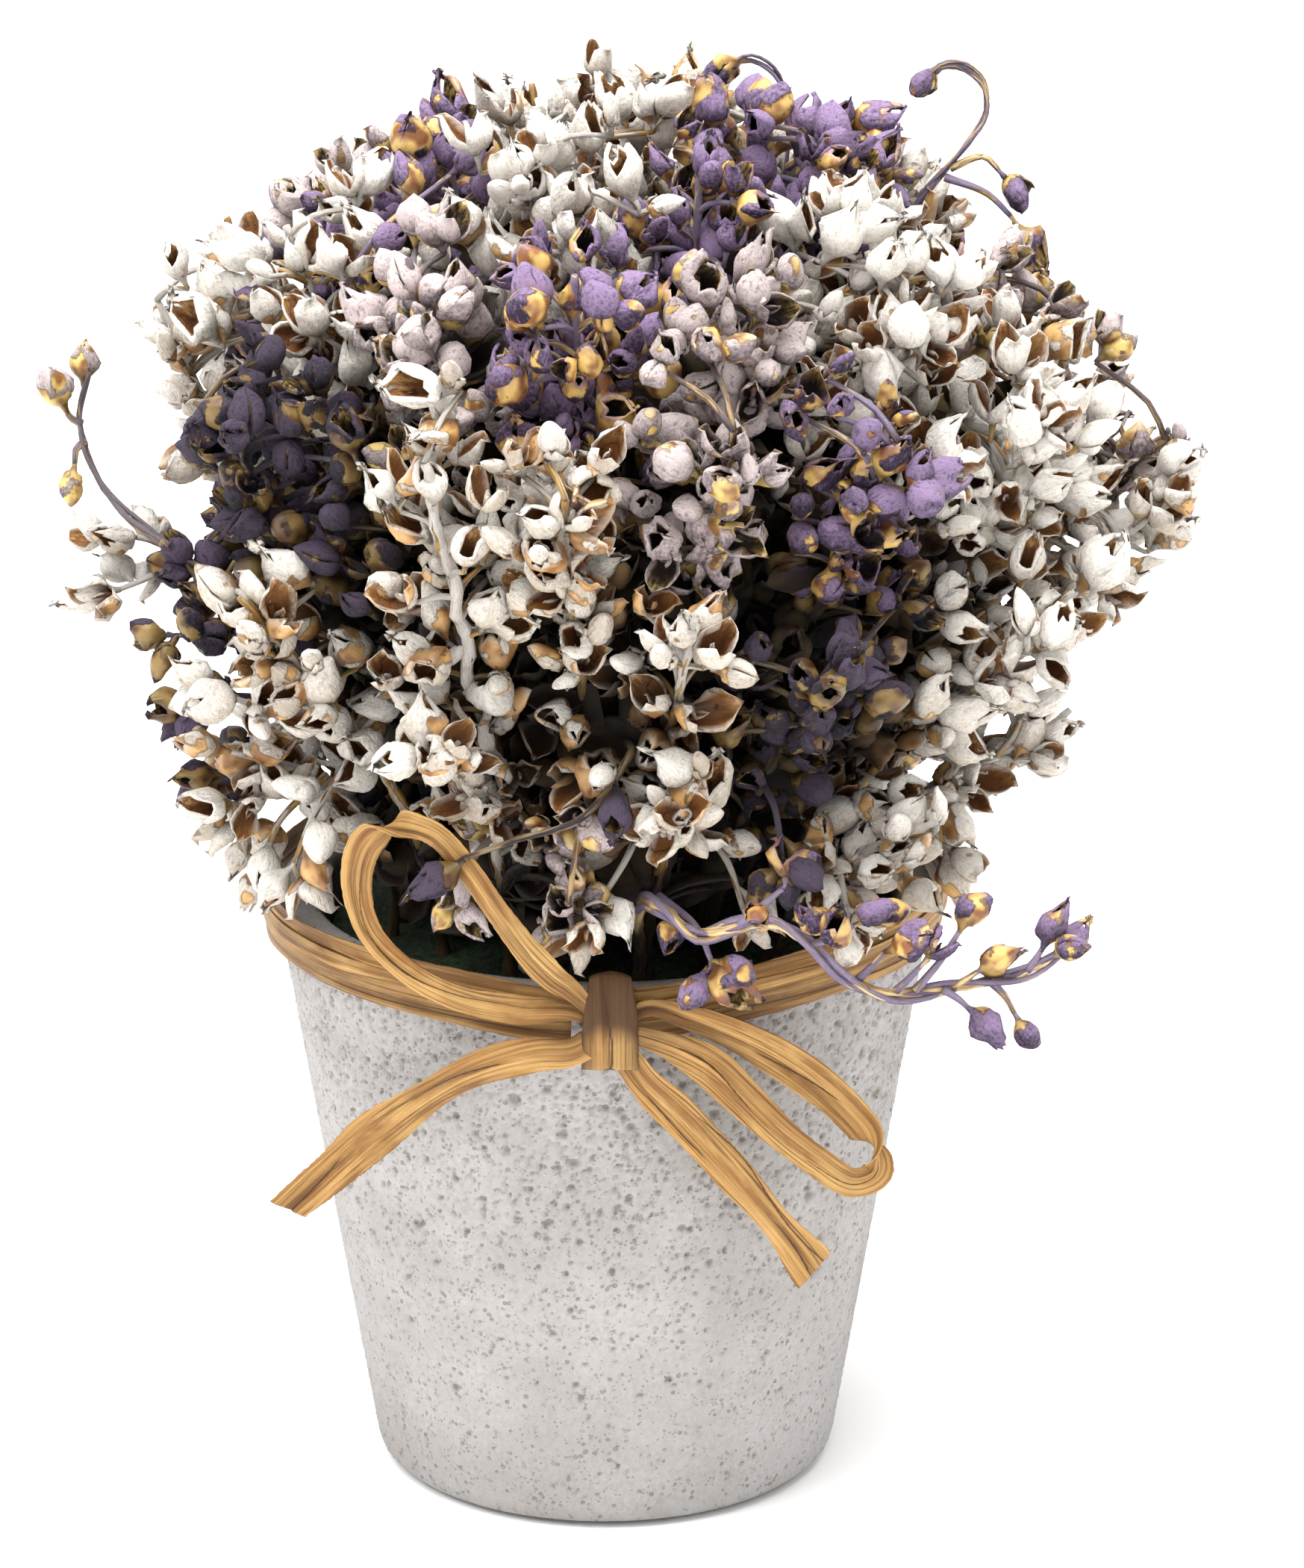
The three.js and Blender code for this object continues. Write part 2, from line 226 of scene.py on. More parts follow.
def smooth_route(points, count):
    """Evenly spaced points on a centripetal Catmull-Rom curve through the given ones."""
    points = np.asarray(points, float)
    padded = np.vstack([2 * points[0] - points[1], points, 2 * points[-1] - points[-2]])
    samples = []
    for a, b, c, d in zip(padded, padded[1:], padded[2:], padded[3:]):
        knots = np.cumsum([0.0] + [np.linalg.norm(q - p) ** 0.5 for p, q in ((a, b), (b, c), (c, d))])
        for at in np.linspace(knots[1], knots[2], 24, endpoint=False):
            ab = a + (b - a) * (at - knots[0]) / (knots[1] - knots[0])
            bc = b + (c - b) * (at - knots[1]) / (knots[2] - knots[1])
            cd = c + (d - c) * (at - knots[2]) / (knots[3] - knots[2])
            abc = ab + (bc - ab) * (at - knots[0]) / (knots[2] - knots[0])
            bcd = bc + (cd - bc) * (at - knots[1]) / (knots[3] - knots[1])
            samples.append(abc + (bcd - abc) * (at - knots[1]) / (knots[2] - knots[1]))
    return evenly(np.vstack([samples, points[-1]]), count)


def evenly(line, count):
    steps = np.linalg.norm(np.diff(line, axis=0), axis=1)
    along = np.concatenate([[0.0], np.cumsum(steps)])
    at = np.linspace(0.0, along[-1], count)
    return np.stack([np.interp(at, along, line[:, axis]) for axis in range(3)], axis=1)


def line_length(line):
    return float(np.linalg.norm(np.diff(line, axis=0), axis=1).sum())


def smoothstep(low, high, value):
    share = np.clip((value - low) / (high - low), 0.0, 1.0)
    return share * share * (3 - 2 * share)


# ---------------------------------------------------------------- shader node helpers


def rgba(red, green, blue):
    """A shader colour from screen values between 0 and 255."""
    return (*((value / 255) ** 2.2 for value in (red, green, blue)), 1.0)


class Nodes:
    """Short ways to add and join the shader nodes of one material."""

    def __init__(self, name):
        self.material = bpy.data.materials.new(name)
        self.material.use_nodes = True
        self.tree = self.material.node_tree
        self.shader = self.tree.nodes["Principled BSDF"]

    def add(self, kind, **settings):
        node = self.tree.nodes.new(kind)
        for key, value in settings.items():
            setattr(node, key, value)
        return node

    def join(self, value, socket):
        if isinstance(value, bpy.types.NodeSocket):
            self.tree.links.new(value, socket)
        else:
            socket.default_value = value

    def attribute(self, name, output="Fac"):
        return self.add("ShaderNodeAttribute", attribute_name=name).outputs[output]

    def upward(self):
        """How far the surface faces up: 1 on top, -1 underneath."""
        split = self.add("ShaderNodeSeparateXYZ")
        self.join(self.add("ShaderNodeNewGeometry").outputs["Normal"], split.inputs[0])
        return split.outputs["Z"]

    def place(self):
        return self.add("ShaderNodeTexCoord").outputs["Object"]

    def math(self, operation, first, second):
        node = self.add("ShaderNodeMath", operation=operation)
        self.join(first, node.inputs[0])
        self.join(second, node.inputs[1])
        return node.outputs[0]

    def plus(self, first, second):
        return self.math("ADD", first, second)

    def minus(self, first, second):
        return self.math("SUBTRACT", first, second)

    def times(self, first, second):
        return self.math("MULTIPLY", first, second)

    def stretched(self, vector, scale):
        node = self.add("ShaderNodeVectorMath", operation="MULTIPLY")
        self.join(vector, node.inputs[0])
        node.inputs[1].default_value = scale
        return node.outputs[0]

    def noise(self, vector, scale, detail=3.0, roughness=0.55):
        node = self.add("ShaderNodeTexNoise")
        self.join(vector, node.inputs["Vector"])
        node.inputs["Scale"].default_value = scale
        node.inputs["Detail"].default_value = detail
        node.inputs["Roughness"].default_value = roughness
        return node.outputs["Fac"]

    def cells(self, vector, scale):
        node = self.add("ShaderNodeTexVoronoi")
        self.join(vector, node.inputs["Vector"])
        node.inputs["Scale"].default_value = scale
        return node.outputs["Distance"], node.outputs["Color"]

    def ramp(self, value, low, high, start=0.0, end=1.0):
        node = self.add("ShaderNodeMapRange", interpolation_type="SMOOTHSTEP")
        self.join(value, node.inputs["Value"])
        for socket, number in zip(node.inputs[1:5], (low, high, start, end)):
            self.join(number, socket)
        return node.outputs["Result"]

    def mix(self, share, first, second, blend="MIX"):
        node = self.add("ShaderNodeMix", data_type="RGBA", blend_type=blend)
        self.join(share, node.inputs[0])
        self.join(first, node.inputs[6])
        self.join(second, node.inputs[7])
        return node.outputs[2]

    def shaded(self, colour, strength):
        """The colour, darkened to the given share of itself."""
        grey = self.add("ShaderNodeCombineColor")
        for channel in ("Red", "Green", "Blue"):
            self.join(strength, grey.inputs[channel])
        return self.mix(1.0, colour, grey.outputs[0], "MULTIPLY")

    def bump(self, height, distance, strength=1.0):
        node = self.add("ShaderNodeBump")
        node.inputs["Strength"].default_value = strength
        node.inputs["Distance"].default_value = distance
        self.join(height, node.inputs["Height"])
        return node.outputs["Normal"]

    def finish(self, colour, roughness, normal):
        self.join(colour, self.shader.inputs["Base Color"])
        self.join(roughness, self.shader.inputs["Roughness"])
        self.join(normal, self.shader.inputs["Normal"])
        return self.material


# ---------------------------------------------------------------- raffia

RAFFIA_SHEET = 0.3 * MM
RAFFIA_PLEAT = 0.26 * MM
BAND_PLEAT = 0.18 * MM
KNOT_PLEAT = 0.42 * MM
PLEATS = 5
PLEAT_WANDER = 0.26
CREASE_WIDTH = 0.035
CUT_LENGTH = 4 * MM
PINCH_LENGTH = 9 * MM
STRAND_WIDTH = 4.4 * MM
TAIL_WIDTH = 5.0 * MM
POINTS_ACROSS = 41
UNDER_KNOT = (0.8, -39.6, 64.0)
HIDDEN_END = 2.6 * MM
STRAND_POINTS = 170
# The strips round the rim, in mm: height over the band's middle, width, and distance from the pot.
BAND_STRIPS = [(1.35, 3.9, 1.0), (-1.35, 3.9, 0.9), (0.1, 2.8, 1.28)]

LOOP_LEFT = [
    (-3, -39.3, 65.8), (-9, -39.2, 66), (-15, -38.5, 67), (-20.6, -37, 69.6), (-24.8, -35.8, 73.8),
    (-26, -35.6, 79), (-24.8, -36.4, 83.6), (-21.6, -38.4, 86.4), (-17.4, -40.4, 86), (-13.8, -41.8, 82.4),
    (-10.8, -42.2, 77.8), (-7.8, -41.8, 73.4), (-5.2, -41.2, 70.4), (-3, -40.8, 68.6),
]
LOOP_RIGHT = [
    (4.8, -39.3, 66.2), (9, -39.2, 65.2), (15.5, -38.2, 62.2), (21.5, -36.6, 57.8), (26.6, -35, 52.4),
    (29.4, -34, 48), (29.4, -34, 45.4), (27, -35, 44.8), (23, -36.6, 47.8), (19, -38.2, 51.6),
    (15, -39.6, 56.2), (11.4, -40.4, 60), (8, -40.6, 62), (4.8, -40.6, 63.2),
]
TAIL_LEFT = [
    (-3, -40.6, 61.8), (-7, -40.4, 61.4), (-13, -39.4, 59.4), (-18.6, -37.6, 55.8), (-24, -35.4, 50.8),
    (-29.4, -33, 45), (-34, -31, 40),
]
TAIL_RIGHT = [
    (4.2, -40, 58.6), (8, -39.6, 54.4), (12.4, -38.6, 49), (16.6, -37.4, 43.6), (20.2, -36, 38.6),
    (22.8, -34.8, 34.4),
]


def raffia_material():
    nodes = Nodes("raffia")
    local = nodes.attribute("local", "Vector")
    crease = nodes.attribute("crease")
    fold = nodes.attribute("fold")
    fibre = nodes.noise(nodes.stretched(local, (4200.0, 50.0, 4200.0)), 1.0, 5.0, 0.7)
    band = nodes.noise(nodes.stretched(local, (900.0, 30.0, 900.0)), 1.0, 2.0)
    blotch = nodes.noise(nodes.stretched(local, (260.0, 110.0, 260.0)), 1.0, 3.0)
    colour = nodes.mix(nodes.ramp(band, 0.4, 0.6), rgba(134, 94, 48), rgba(178, 136, 80))
    colour = nodes.mix(nodes.ramp(blotch, 0.45, 0.7, 0.0, 0.6), colour, rgba(206, 166, 102))
    colour = nodes.mix(nodes.ramp(fibre, 0.5, 0.36, 0.0, 0.9), colour, rgba(98, 62, 26))
    colour = nodes.mix(nodes.ramp(fibre, 0.56, 0.68, 0.0, 0.6), colour, rgba(216, 180, 118))
    # Painted shade: darker in the pleat valleys, on the band, at the ends pinched in at the knot, and on the
    # knot's top and sides.
    colour = nodes.mix(nodes.ramp(fold, -1.8, 0.3, 0.93, 0.0), colour, rgba(60, 37, 16))
    # Dark lines in the valley creases: painted shade.
    colour = nodes.mix(nodes.ramp(crease, 0.25, 0.7, 0.0, 0.9), colour, rgba(62, 36, 14))
    nodes.shader.inputs["Specular IOR Level"].default_value = 0.3
    roughness = nodes.ramp(fibre, 0.3, 0.7, 0.45, 0.65)
    return nodes.finish(colour, roughness, nodes.bump(fibre, 0.2 * MM, 1.0))


def pleats(rng, along, across):
    """Lengthwise folds that wander along a ribbon: their height from -1 to 1, and where painted shade darkens
    the creases.
    """
    folds = PLEATS + 1
    middle = np.linspace(-1, 1, folds) + rng.uniform(-0.16, 0.16, folds)
    middle[0], middle[-1] = -1.05, 1.05
    sign = np.where(np.arange(folds) % 2, -1.0, 1.0)
    size = rng.uniform(0.15, 1.0, folds) ** 1.3
    pace, phase = rng.uniform(50, 330, (2, folds)), rng.uniform(0, 6.3, (2, folds))
    height = np.zeros((len(along), len(across)))
    crease = np.zeros_like(height)
    for step, place in enumerate(along):
        spots = middle + PLEAT_WANDER * np.sin(place * pace[0] + phase[0]) * (np.abs(middle) < 1)
        peaks = sign * size * (0.4 + 0.6 * np.sin(place * pace[1] + phase[1]))
        height[step] = np.interp(across, spots, peaks)
        away = np.abs(across[:, None] - spots[None, :])
        marks = np.exp(-((away / CREASE_WIDTH) ** 2)) * np.clip(-0.1 - 2.4 * peaks, 0.0, 1.0)
        crease[step] = marks.max(axis=1)
    return height, np.clip(crease * 1.3, 0.0, 1.0)


def ribbon_quads(steps):
    """The faces of a strip with a front and a back, closed at both ends."""
    around = 2 * POINTS_ACROSS
    strip = np.arange(POINTS_ACROSS - 1)
    mirror = around - 1 - strip
    start_cap = np.stack([strip, strip + 1, mirror - 1, mirror], axis=1)
    end_cap = start_cap[:, ::-1] + (steps - 1) * around
    return np.vstack([ring_quads(steps, around)[:, ::-1], start_cap, end_cap])


def ribbon_offsets(rng, along, across, width, pinches):
    """How far each point of a strip lies from its middle line: narrower where pinched, with uneven edges."""
    half = width / 2 * (0.9 + 0.1 * np.sin(along * rng.uniform(120, 220) + rng.uniform(0, 6.3)))
    for pinch in pinches:
        half = half * (1 - pinch)
    uneven = 0.07 * np.sin(along[:, None] * rng.uniform(150, 420, 2) + rng.uniform(0, 6.3, 2))
    edge = 1 + np.where(across < 0, uneven[:, :1], uneven[:, 1:])
    edge = edge - 0.05 * rng.random((len(along), 1)) * across ** 4
    return across[None, :] * edge * half[:, None]


def add_ribbon(shape, rng, line, width, facing, pleat=RAFFIA_PLEAT, pinched=(0.0, 0.0), cut=0.0, painted_shade=0.0):
    """A thin creased strip along a line, its flat side turned where facing says, drawn in at pinched ends."""
    tangents = unit(np.gradient(line, axis=0))
    normals = unit(facing - tangents * np.sum(facing * tangents, axis=1, keepdims=True))
    sideways = np.cross(tangents, normals)
    along = np.linspace(0.0, line_length(line), len(line))
    left = along[-1] - along
    across = np.linspace(-1.0, 1.0, POINTS_ACROSS)
    height, crease = pleats(rng, along, across)
    pinches = [share * smoothstep(PINCH_LENGTH, 0.0, away) for share, away in zip(pinched, (along, left))]
    offset = ribbon_offsets(rng, along, across, width, pinches)
    rise = height * pleat
    slant = cut * offset * smoothstep(CUT_LENGTH, 0.0, left)[:, None]
    middle = line[:, None] + sideways[:, None] * offset[..., None] + normals[:, None] * rise[..., None]
    middle = middle + tangents[:, None] * slant[..., None]
    thin = normals[:, None] * (RAFFIA_SHEET / 2 * (1 - 0.5 * np.abs(across) ** 6))[None, :, None]
    rings = np.concatenate([middle + thin, (middle - thin)[:, ::-1]], axis=1)
    local = np.zeros(rings.shape)
    local[..., 0] = np.concatenate([offset, offset[:, ::-1]], axis=1)
    local[..., 1] = along[:, None]
    local[..., 2] = rng.uniform(0, 1)
    marks = np.concatenate([crease, crease[:, ::-1]], axis=1)
    # Painted shade: darker in the pleat valleys, over the whole band, and where the ends pinch in at the
    # knot.
    folds = np.concatenate([height, -height[:, ::-1]], axis=1) - painted_shade - 1.7 * sum(pinches)[:, None]
    shape.add(
        rings.reshape(-1, 3), ribbon_quads(len(line)), np.zeros((0, 3), int),
        local=local.reshape(-1, 3), crease=marks.ravel(), fold=folds.ravel(),
    )


def turned_over(line, flip, sway):
    """Which way a strand faces along its line: forward, swaying a little, and turned over at the flip."""
    share = np.linspace(0.0, 1.0, len(line))
    turn = sway * np.sin(9.0 * share + 1.0) + math.pi * smoothstep(flip - 0.05, flip + 0.05, share)
    tangents = unit(np.gradient(line, axis=0))
    forward = unit(np.array([0.0, -1.0, 0.0]) + tangents * tangents[:, 1:2])
    return forward * np.cos(turn)[:, None] + np.cross(tangents, forward) * np.sin(turn)[:, None]


def tucked(route, both):
    """The route of a strand, carried on at its knotted end or ends to lie hidden under the knot."""
    ends = [UNDER_KNOT, *route, UNDER_KNOT] if both else [UNDER_KNOT, *route]
    line = smooth_route(np.array(ends) * MM, STRAND_POINTS)
    away = np.linalg.norm(line - np.array(UNDER_KNOT) * MM, axis=1)
    return line[away > HIDDEN_END]


def add_strand(name, route, width, far_end, material, seed, flip, curled=1.0):
    """One free length of the bow: a flat strip of its own width."""
    rng = np.random.default_rng(seed)
    both = far_end == "object"
    line = tucked(route, both)
    shape = Shape("local", "crease", "fold")
    pinched = (0.5, 0.5) if both else (0.35, 0.0)
    add_ribbon(shape, rng, line, width * curled, turned_over(line, flip, 0.35), pinched=pinched, cut=0.25)
    piece = shape.build("bow_" + name, [material])
    stand_in(piece, "raffia_" + name)


def band_line(level, radius, sag, tilt, end_angle):
    turn = np.radians(np.linspace(end_angle, 360 - end_angle, 260))
    from_knot = np.degrees(np.minimum(turn, 2 * math.pi - turn))
    height = level - sag * np.exp(-((from_knot / 22) ** 2)) + tilt * np.sin(turn)
    return np.stack([np.sin(turn) * radius, -np.cos(turn) * radius, height], axis=1)


def add_band(material):
    """Creased strips of raffia lie over each other round the rim."""
    rng = np.random.default_rng(31)
    shape = Shape("local", "crease", "fold")
    for rise, width, radius in BAND_STRIPS:
        line = band_line(RIM_HEIGHT + (rise - 0.6) * MM, RIM_RADIUS + radius * MM, 1.6 * MM, 0.5 * MM, 5)
        outward = line * [1.0, 1.0, 0.0]
        # The band is drawn darker all over: painted shade.
        add_ribbon(shape, rng, line, width * MM, outward, pleat=BAND_PLEAT, painted_shade=0.5)
    stand_in(shape.build("rim_band", [material]), "raffia_band")


def add_knot(material):
    """The wrap at the middle of the bow, creased from top to bottom and flared below."""
    rng = np.random.default_rng(5)
    low, high = (np.array(corner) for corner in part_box("raffia_knot"))
    middle, half = (low + high) / 2, (high - low) / 2
    rows, around = 48, 96
    height = np.linspace(-1.0, 1.0, rows)
    angle = np.arange(around) * 2 * math.pi / around
    widen = 1.0 - 0.16 * height + 0.05 * np.cos(3 * height)
    depth = np.sqrt(np.clip(1 - np.abs(height) ** 6, 0.03, 1.0))
    front_half = pleats(rng, height * half[2], -np.cos(angle[:around // 2 + 1]))
    ridge, crease = (np.hstack([part, part[:, 1:-1][:, ::-1]])[:, ::-1] for part in front_half)
    rounded = np.sign(np.sin(angle)) * np.abs(np.sin(angle)) ** 0.5
    x = half[0] * widen[:, None] * np.cos(angle)[None, :]
    front = np.clip(-rounded * 2, 0.0, 1.0)[None, :]
    y = half[1] * 0.86 * depth[:, None] * rounded[None, :] - front * ridge * KNOT_PLEAT
    arched = 0.6 * MM * smoothstep(0.4, 1.0, height)[:, None] * np.cos(angle)[None, :] ** 2
    z = (height * half[2])[:, None] - arched
    rings = np.stack([x, y, z], axis=-1) + middle
    points, quads, triangles = sealed(rings, middle - [0, 0, half[2]], middle + [0, 0, half[2]])
    shape = Shape("local", "crease", "fold")
    local = np.stack([points[:, 0], points[:, 2], np.full(len(points), 0.4)], axis=1)
    marks = np.append((crease * front).ravel(), [0.0, 0.0])
    shadow = 0.5 + 2.6 * smoothstep(-0.5, 0.6, height)[:, None] + 1.0 * np.abs(np.cos(angle)) ** 3
    folds = np.append((0.5 * ridge * front - shadow).ravel(), [0.0, 0.0])
    shape.add(points, quads, triangles, local=local, crease=marks, fold=folds)
    stand_in(shape.build("bow_knot", [material]), "raffia_knot")


def add_raffia():
    material = raffia_material()
    add_strand("loop_left", LOOP_LEFT, STRAND_WIDTH, "object", material, 11, 0.56, curled=0.8)
    add_strand("loop_right", LOOP_RIGHT, STRAND_WIDTH, "object", material, 12, 0.47)
    add_strand("tail_left", TAIL_LEFT, TAIL_WIDTH, "bare", material, 13, 2.0)
    add_strand("tail_right", TAIL_RIGHT, TAIL_WIDTH, "bare", material, 14, 2.0)
    add_band(material)
    add_knot(material)


# ---------------------------------------------------------------- pot and foam

POT_WALL = 4.5 * MM
POT_FLOOR = 6 * MM
POT_AROUND = 800
WALL_ROWS = 200
PIT_COUNT = 24000
PIT_DEPTH = 0.45 * MM
SURFACE_LUMPS = 0.05 * MM
FOAM_AROUND = 170
FOAM_CRUMB = 0.7 * MM


def base_radius():
    """Radius of the pot's outer wall where it would meet the ground, from the mesh of the CAD pot."""
    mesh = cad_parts["pot"].data
    points = np.array([vertex.co for vertex in mesh.vertices])
    radius = np.hypot(points[:, 0], points[:, 1])
    foot = points[:, 2] < 2.5 * MM
    level = points[foot][radius[foot].argmax(), 2]
    widest = radius[foot].max()
    return widest - (RIM_RADIUS - widest) * level / (RIM_HEIGHT - level)


def cement_material():
    nodes = Nodes("porous_cement")
    place = nodes.place()
    pit = nodes.attribute("pit")
    cloud = nodes.noise(place, 60.0, 4.0, 0.6)
    grain = nodes.noise(place, 1500.0, 4.0, 0.7)
    small = nodes.ramp(nodes.cells(place, 950.0)[0], 0.14, 0.30, 1.0, 0.0)
    tiny = nodes.ramp(nodes.cells(place, 1900.0)[0], 0.16, 0.34, 1.0, 0.0)
    pore = nodes.times(small, nodes.ramp(nodes.noise(place, 420.0, 1.0), 0.44, 0.58))
    speck = nodes.times(tiny, nodes.ramp(nodes.noise(place, 700.0, 1.0), 0.46, 0.6))
    pore = nodes.math("MAXIMUM", pore, nodes.times(speck, 0.6))
    colour = nodes.mix(nodes.ramp(cloud, 0.3, 0.7), rgba(153, 149, 146), rgba(168, 165, 163))
    colour = nodes.mix(nodes.ramp(grain, 0.35, 0.8, 0.0, 0.5), colour, rgba(143, 138, 134))
    # The pores and pits are drawn darker: painted shade in the hollows.
    colour = nodes.mix(nodes.times(pore, 0.7), colour, rgba(122, 114, 108))
    colour = nodes.mix(nodes.ramp(pit, 0.2, 1.0, 0.0, 0.65), colour, rgba(116, 108, 101))
    # The inside wall is drawn dark: painted shade inside the pot.
    colour = nodes.mix(nodes.ramp(nodes.attribute("lining"), 0.0, 1.0, 0.0, 0.85), colour, rgba(48, 46, 40))
    height = nodes.minus(nodes.times(grain, 0.5), pore)
    return nodes.finish(colour, nodes.ramp(grain, 0.2, 0.8, 0.85, 0.98), nodes.bump(height, 0.18 * MM, 0.9))


def pitted(rng, wall_rows, around):
    """How deep the pores eat into each point of the wall, from 0 to 1: dense above, sparse below."""
    depth = np.zeros((wall_rows, around))
    spacing_up = RIM_HEIGHT / wall_rows
    for _ in range(PIT_COUNT):
        level = rng.random() ** 0.8
        if rng.random() > 0.1 + 0.9 * smoothstep(0.25, 0.85, level):
            continue
        radius = rng.gamma(1.5, 0.065) * MM + 0.13 * MM
        row, column = level * wall_rows, rng.random() * around
        spacing_round = 2 * math.pi * RIM_RADIUS * (0.7 + 0.3 * level) / around
        high = int(radius / spacing_up) + 2
        wide = int(radius / spacing_round) + 2
        rows = np.arange(max(0, int(row) - high), min(wall_rows, int(row) + high + 1))
        columns = np.arange(int(column) - wide, int(column) + wide + 1)
        up = (rows - row) * spacing_up
        side = (columns - column) * spacing_round
        away = np.hypot(up[:, None], side[None, :] * rng.uniform(0.75, 1.3)) / radius
        hole = np.clip(1.3 - away ** 2, 0.0, 1.0) * min(1.0, radius / (0.45 * MM))
        cell = np.ix_(rows, columns % around)
        depth[cell] = np.maximum(depth[cell], hole)
    return depth


def pot_profile():
    """Radius and height of the pot's rings: its underside, outer wall, rim and inside, each its own list."""
    foot = base_radius()
    inside = RIM_RADIUS - POT_WALL

    def outer(height):
        return foot + (RIM_RADIUS - foot) / RIM_HEIGHT * height

    base = [(share * foot, 0.0) for share in (0.25, 0.5, 0.75, 0.9)]
    base += [(foot - 1.5 * MM, 0.0), (foot - 0.6 * MM, 0.4 * MM), (outer(1.2 * MM) - 0.1 * MM, 1.2 * MM)]
    wall = [(outer(level), level) for level in np.linspace(2.2 * MM, RIM_HEIGHT - 1.2 * MM, WALL_ROWS)]
    rim = [
        (RIM_RADIUS - 0.25 * MM, RIM_HEIGHT - 0.5 * MM), (RIM_RADIUS - 0.8 * MM, RIM_HEIGHT - 0.05 * MM),
        (RIM_RADIUS - POT_WALL / 2, RIM_HEIGHT), (inside + 0.8 * MM, RIM_HEIGHT - 0.05 * MM),
        (inside + 0.1 * MM, RIM_HEIGHT - 0.6 * MM),
    ]
    inner = [(outer(level) - POT_WALL, level) for level in np.linspace(RIM_HEIGHT - 2 * MM, POT_FLOOR, 12)]
    inner += [(share * foot, POT_FLOOR) for share in (0.6, 0.3)]
    return base, wall, rim, inner


def add_pot():
    rng = np.random.default_rng(7)
    base, wall, rim, inner = pot_profile()
    profile = np.array(base + wall + rim + inner)
    angle = np.arange(POT_AROUND) * 2 * math.pi / POT_AROUND
    pit = np.zeros((len(profile), POT_AROUND))
    pit[len(base):len(base + wall)] = pitted(rng, WALL_ROWS, POT_AROUND)
    # The inside rows are marked to be drawn dark: painted shade inside the pot.
    lining = np.zeros((len(profile), 1))
    lining[-len(inner):] = 1.0
    lump = SURFACE_LUMPS * rng.standard_normal((len(profile), POT_AROUND))
    radius = profile[:, :1] + lump * (profile[:, 1:] > 1 * MM) - pit * PIT_DEPTH
    rings = np.stack([
        radius * np.cos(angle), radius * np.sin(angle),
        np.repeat(profile[:, 1:], POT_AROUND, axis=1),
    ], axis=-1)
    points, quads, triangles = sealed(rings, (0, 0, 0), (0, 0, POT_FLOOR))
    shape = Shape("pit", "lining")
    pits, linings = np.append(pit.ravel(), [0.0, 0.0]), np.append(np.repeat(lining, POT_AROUND), [0.0, 1.0])
    shape.add(points, quads, triangles, pit=pits, lining=linings)
    stand_in(shape.build("pot_body", [cement_material()]), "pot")


def foam_material():
    nodes = Nodes("floral_foam")
    place = nodes.place()
    crumb = nodes.noise(place, 1600.0, 4.0, 0.7)
    cloud = nodes.noise(place, 220.0, 2.0)
    colour = nodes.mix(nodes.ramp(crumb, 0.3, 0.7), rgba(18, 28, 20), rgba(58, 78, 52))
    colour = nodes.mix(nodes.ramp(cloud, 0.45, 0.75, 0.0, 0.6), colour, rgba(34, 40, 30))
    return nodes.finish(colour, nodes.ramp(crumb, 0.2, 0.8, 0.9, 1.0), nodes.bump(crumb, 0.4 * MM))


def add_foam():
    rng = np.random.default_rng(8)
    angle = np.arange(FOAM_AROUND) * 2 * math.pi / FOAM_AROUND
    reach = FOAM_HIGH[0]
    top = FOAM_HIGH[2]
    side = [(reach * 0.72, FOAM_LOW[2] + 0.3 * MM), (reach * 0.8, FOAM_LOW[2] + 8 * MM)]
    side += [(reach * 0.93, top * 0.8), (reach * 0.985, top - 1.6 * MM)]
    crown = [(reach * share, top - 0.8 * MM * share ** 2) for share in np.linspace(0.96, 0.03, 34)]
    profile = np.array(side + crown)
    fine = rng.random((len(profile), FOAM_AROUND)) - 0.5
    coarse = rng.random((len(profile) // 3 + 1, FOAM_AROUND // 5))
    coarse = np.repeat(np.repeat(coarse, 3, axis=0), 5, axis=1)[:len(profile)] - 0.5
    rough = fine + 0.9 * coarse
    upper = (profile[:, 1:] > top - 5 * MM) * 1.0
    radius = profile[:, :1] - 0.3 * MM * upper * np.abs(rough)
    height = profile[:, 1:] + (rough - 0.4) * FOAM_CRUMB * upper
    rings = np.stack([radius * np.cos(angle), radius * np.sin(angle), height], axis=-1)
    points, quads, triangles = sealed(rings, (0, 0, FOAM_LOW[2] + 0.3 * MM), (0, 0, top - 0.4 * MM))
    shape = Shape()
    shape.add(points, quads, triangles)
    stand_in(shape.build("foam_plug", [foam_material()]), "floral_foam")


# ---------------------------------------------------------------- seed husks


HUSK_WIDTH = 0.45
LIP = 0.09
NECK = np.array([-0.22, -0.1])[:, None]


def belly(height, closing, width):
    """Radius of a husk at each height: narrow at the stalk, full in the middle, drawn in by closing."""
    return width * np.sin(math.pi * np.clip(0.05 + closing * height, 0.0, 1.0)) ** 0.75


def wobble(rng, angle, height, size):
    """A smooth uneven factor round a husk."""
    total = np.ones(np.broadcast(angle, height).shape)
    for turns, rise in ((2, 2.0), (3, 4.0), (5, 7.0), (7, 3.0)):
        total = total + size / turns ** 0.5 * np.sin(turns * angle + rise * height + rng.uniform(0, 6.3))
    return total


def neck(rng, around):
    """The short throat that joins a husk to its stalk: heights and radii of its rings."""
    height = np.repeat(NECK, around, axis=1)
    return height, np.array([0.06, 0.08])[:, None] * wobble(rng, np.arange(around)[None, :], height, 0.1)


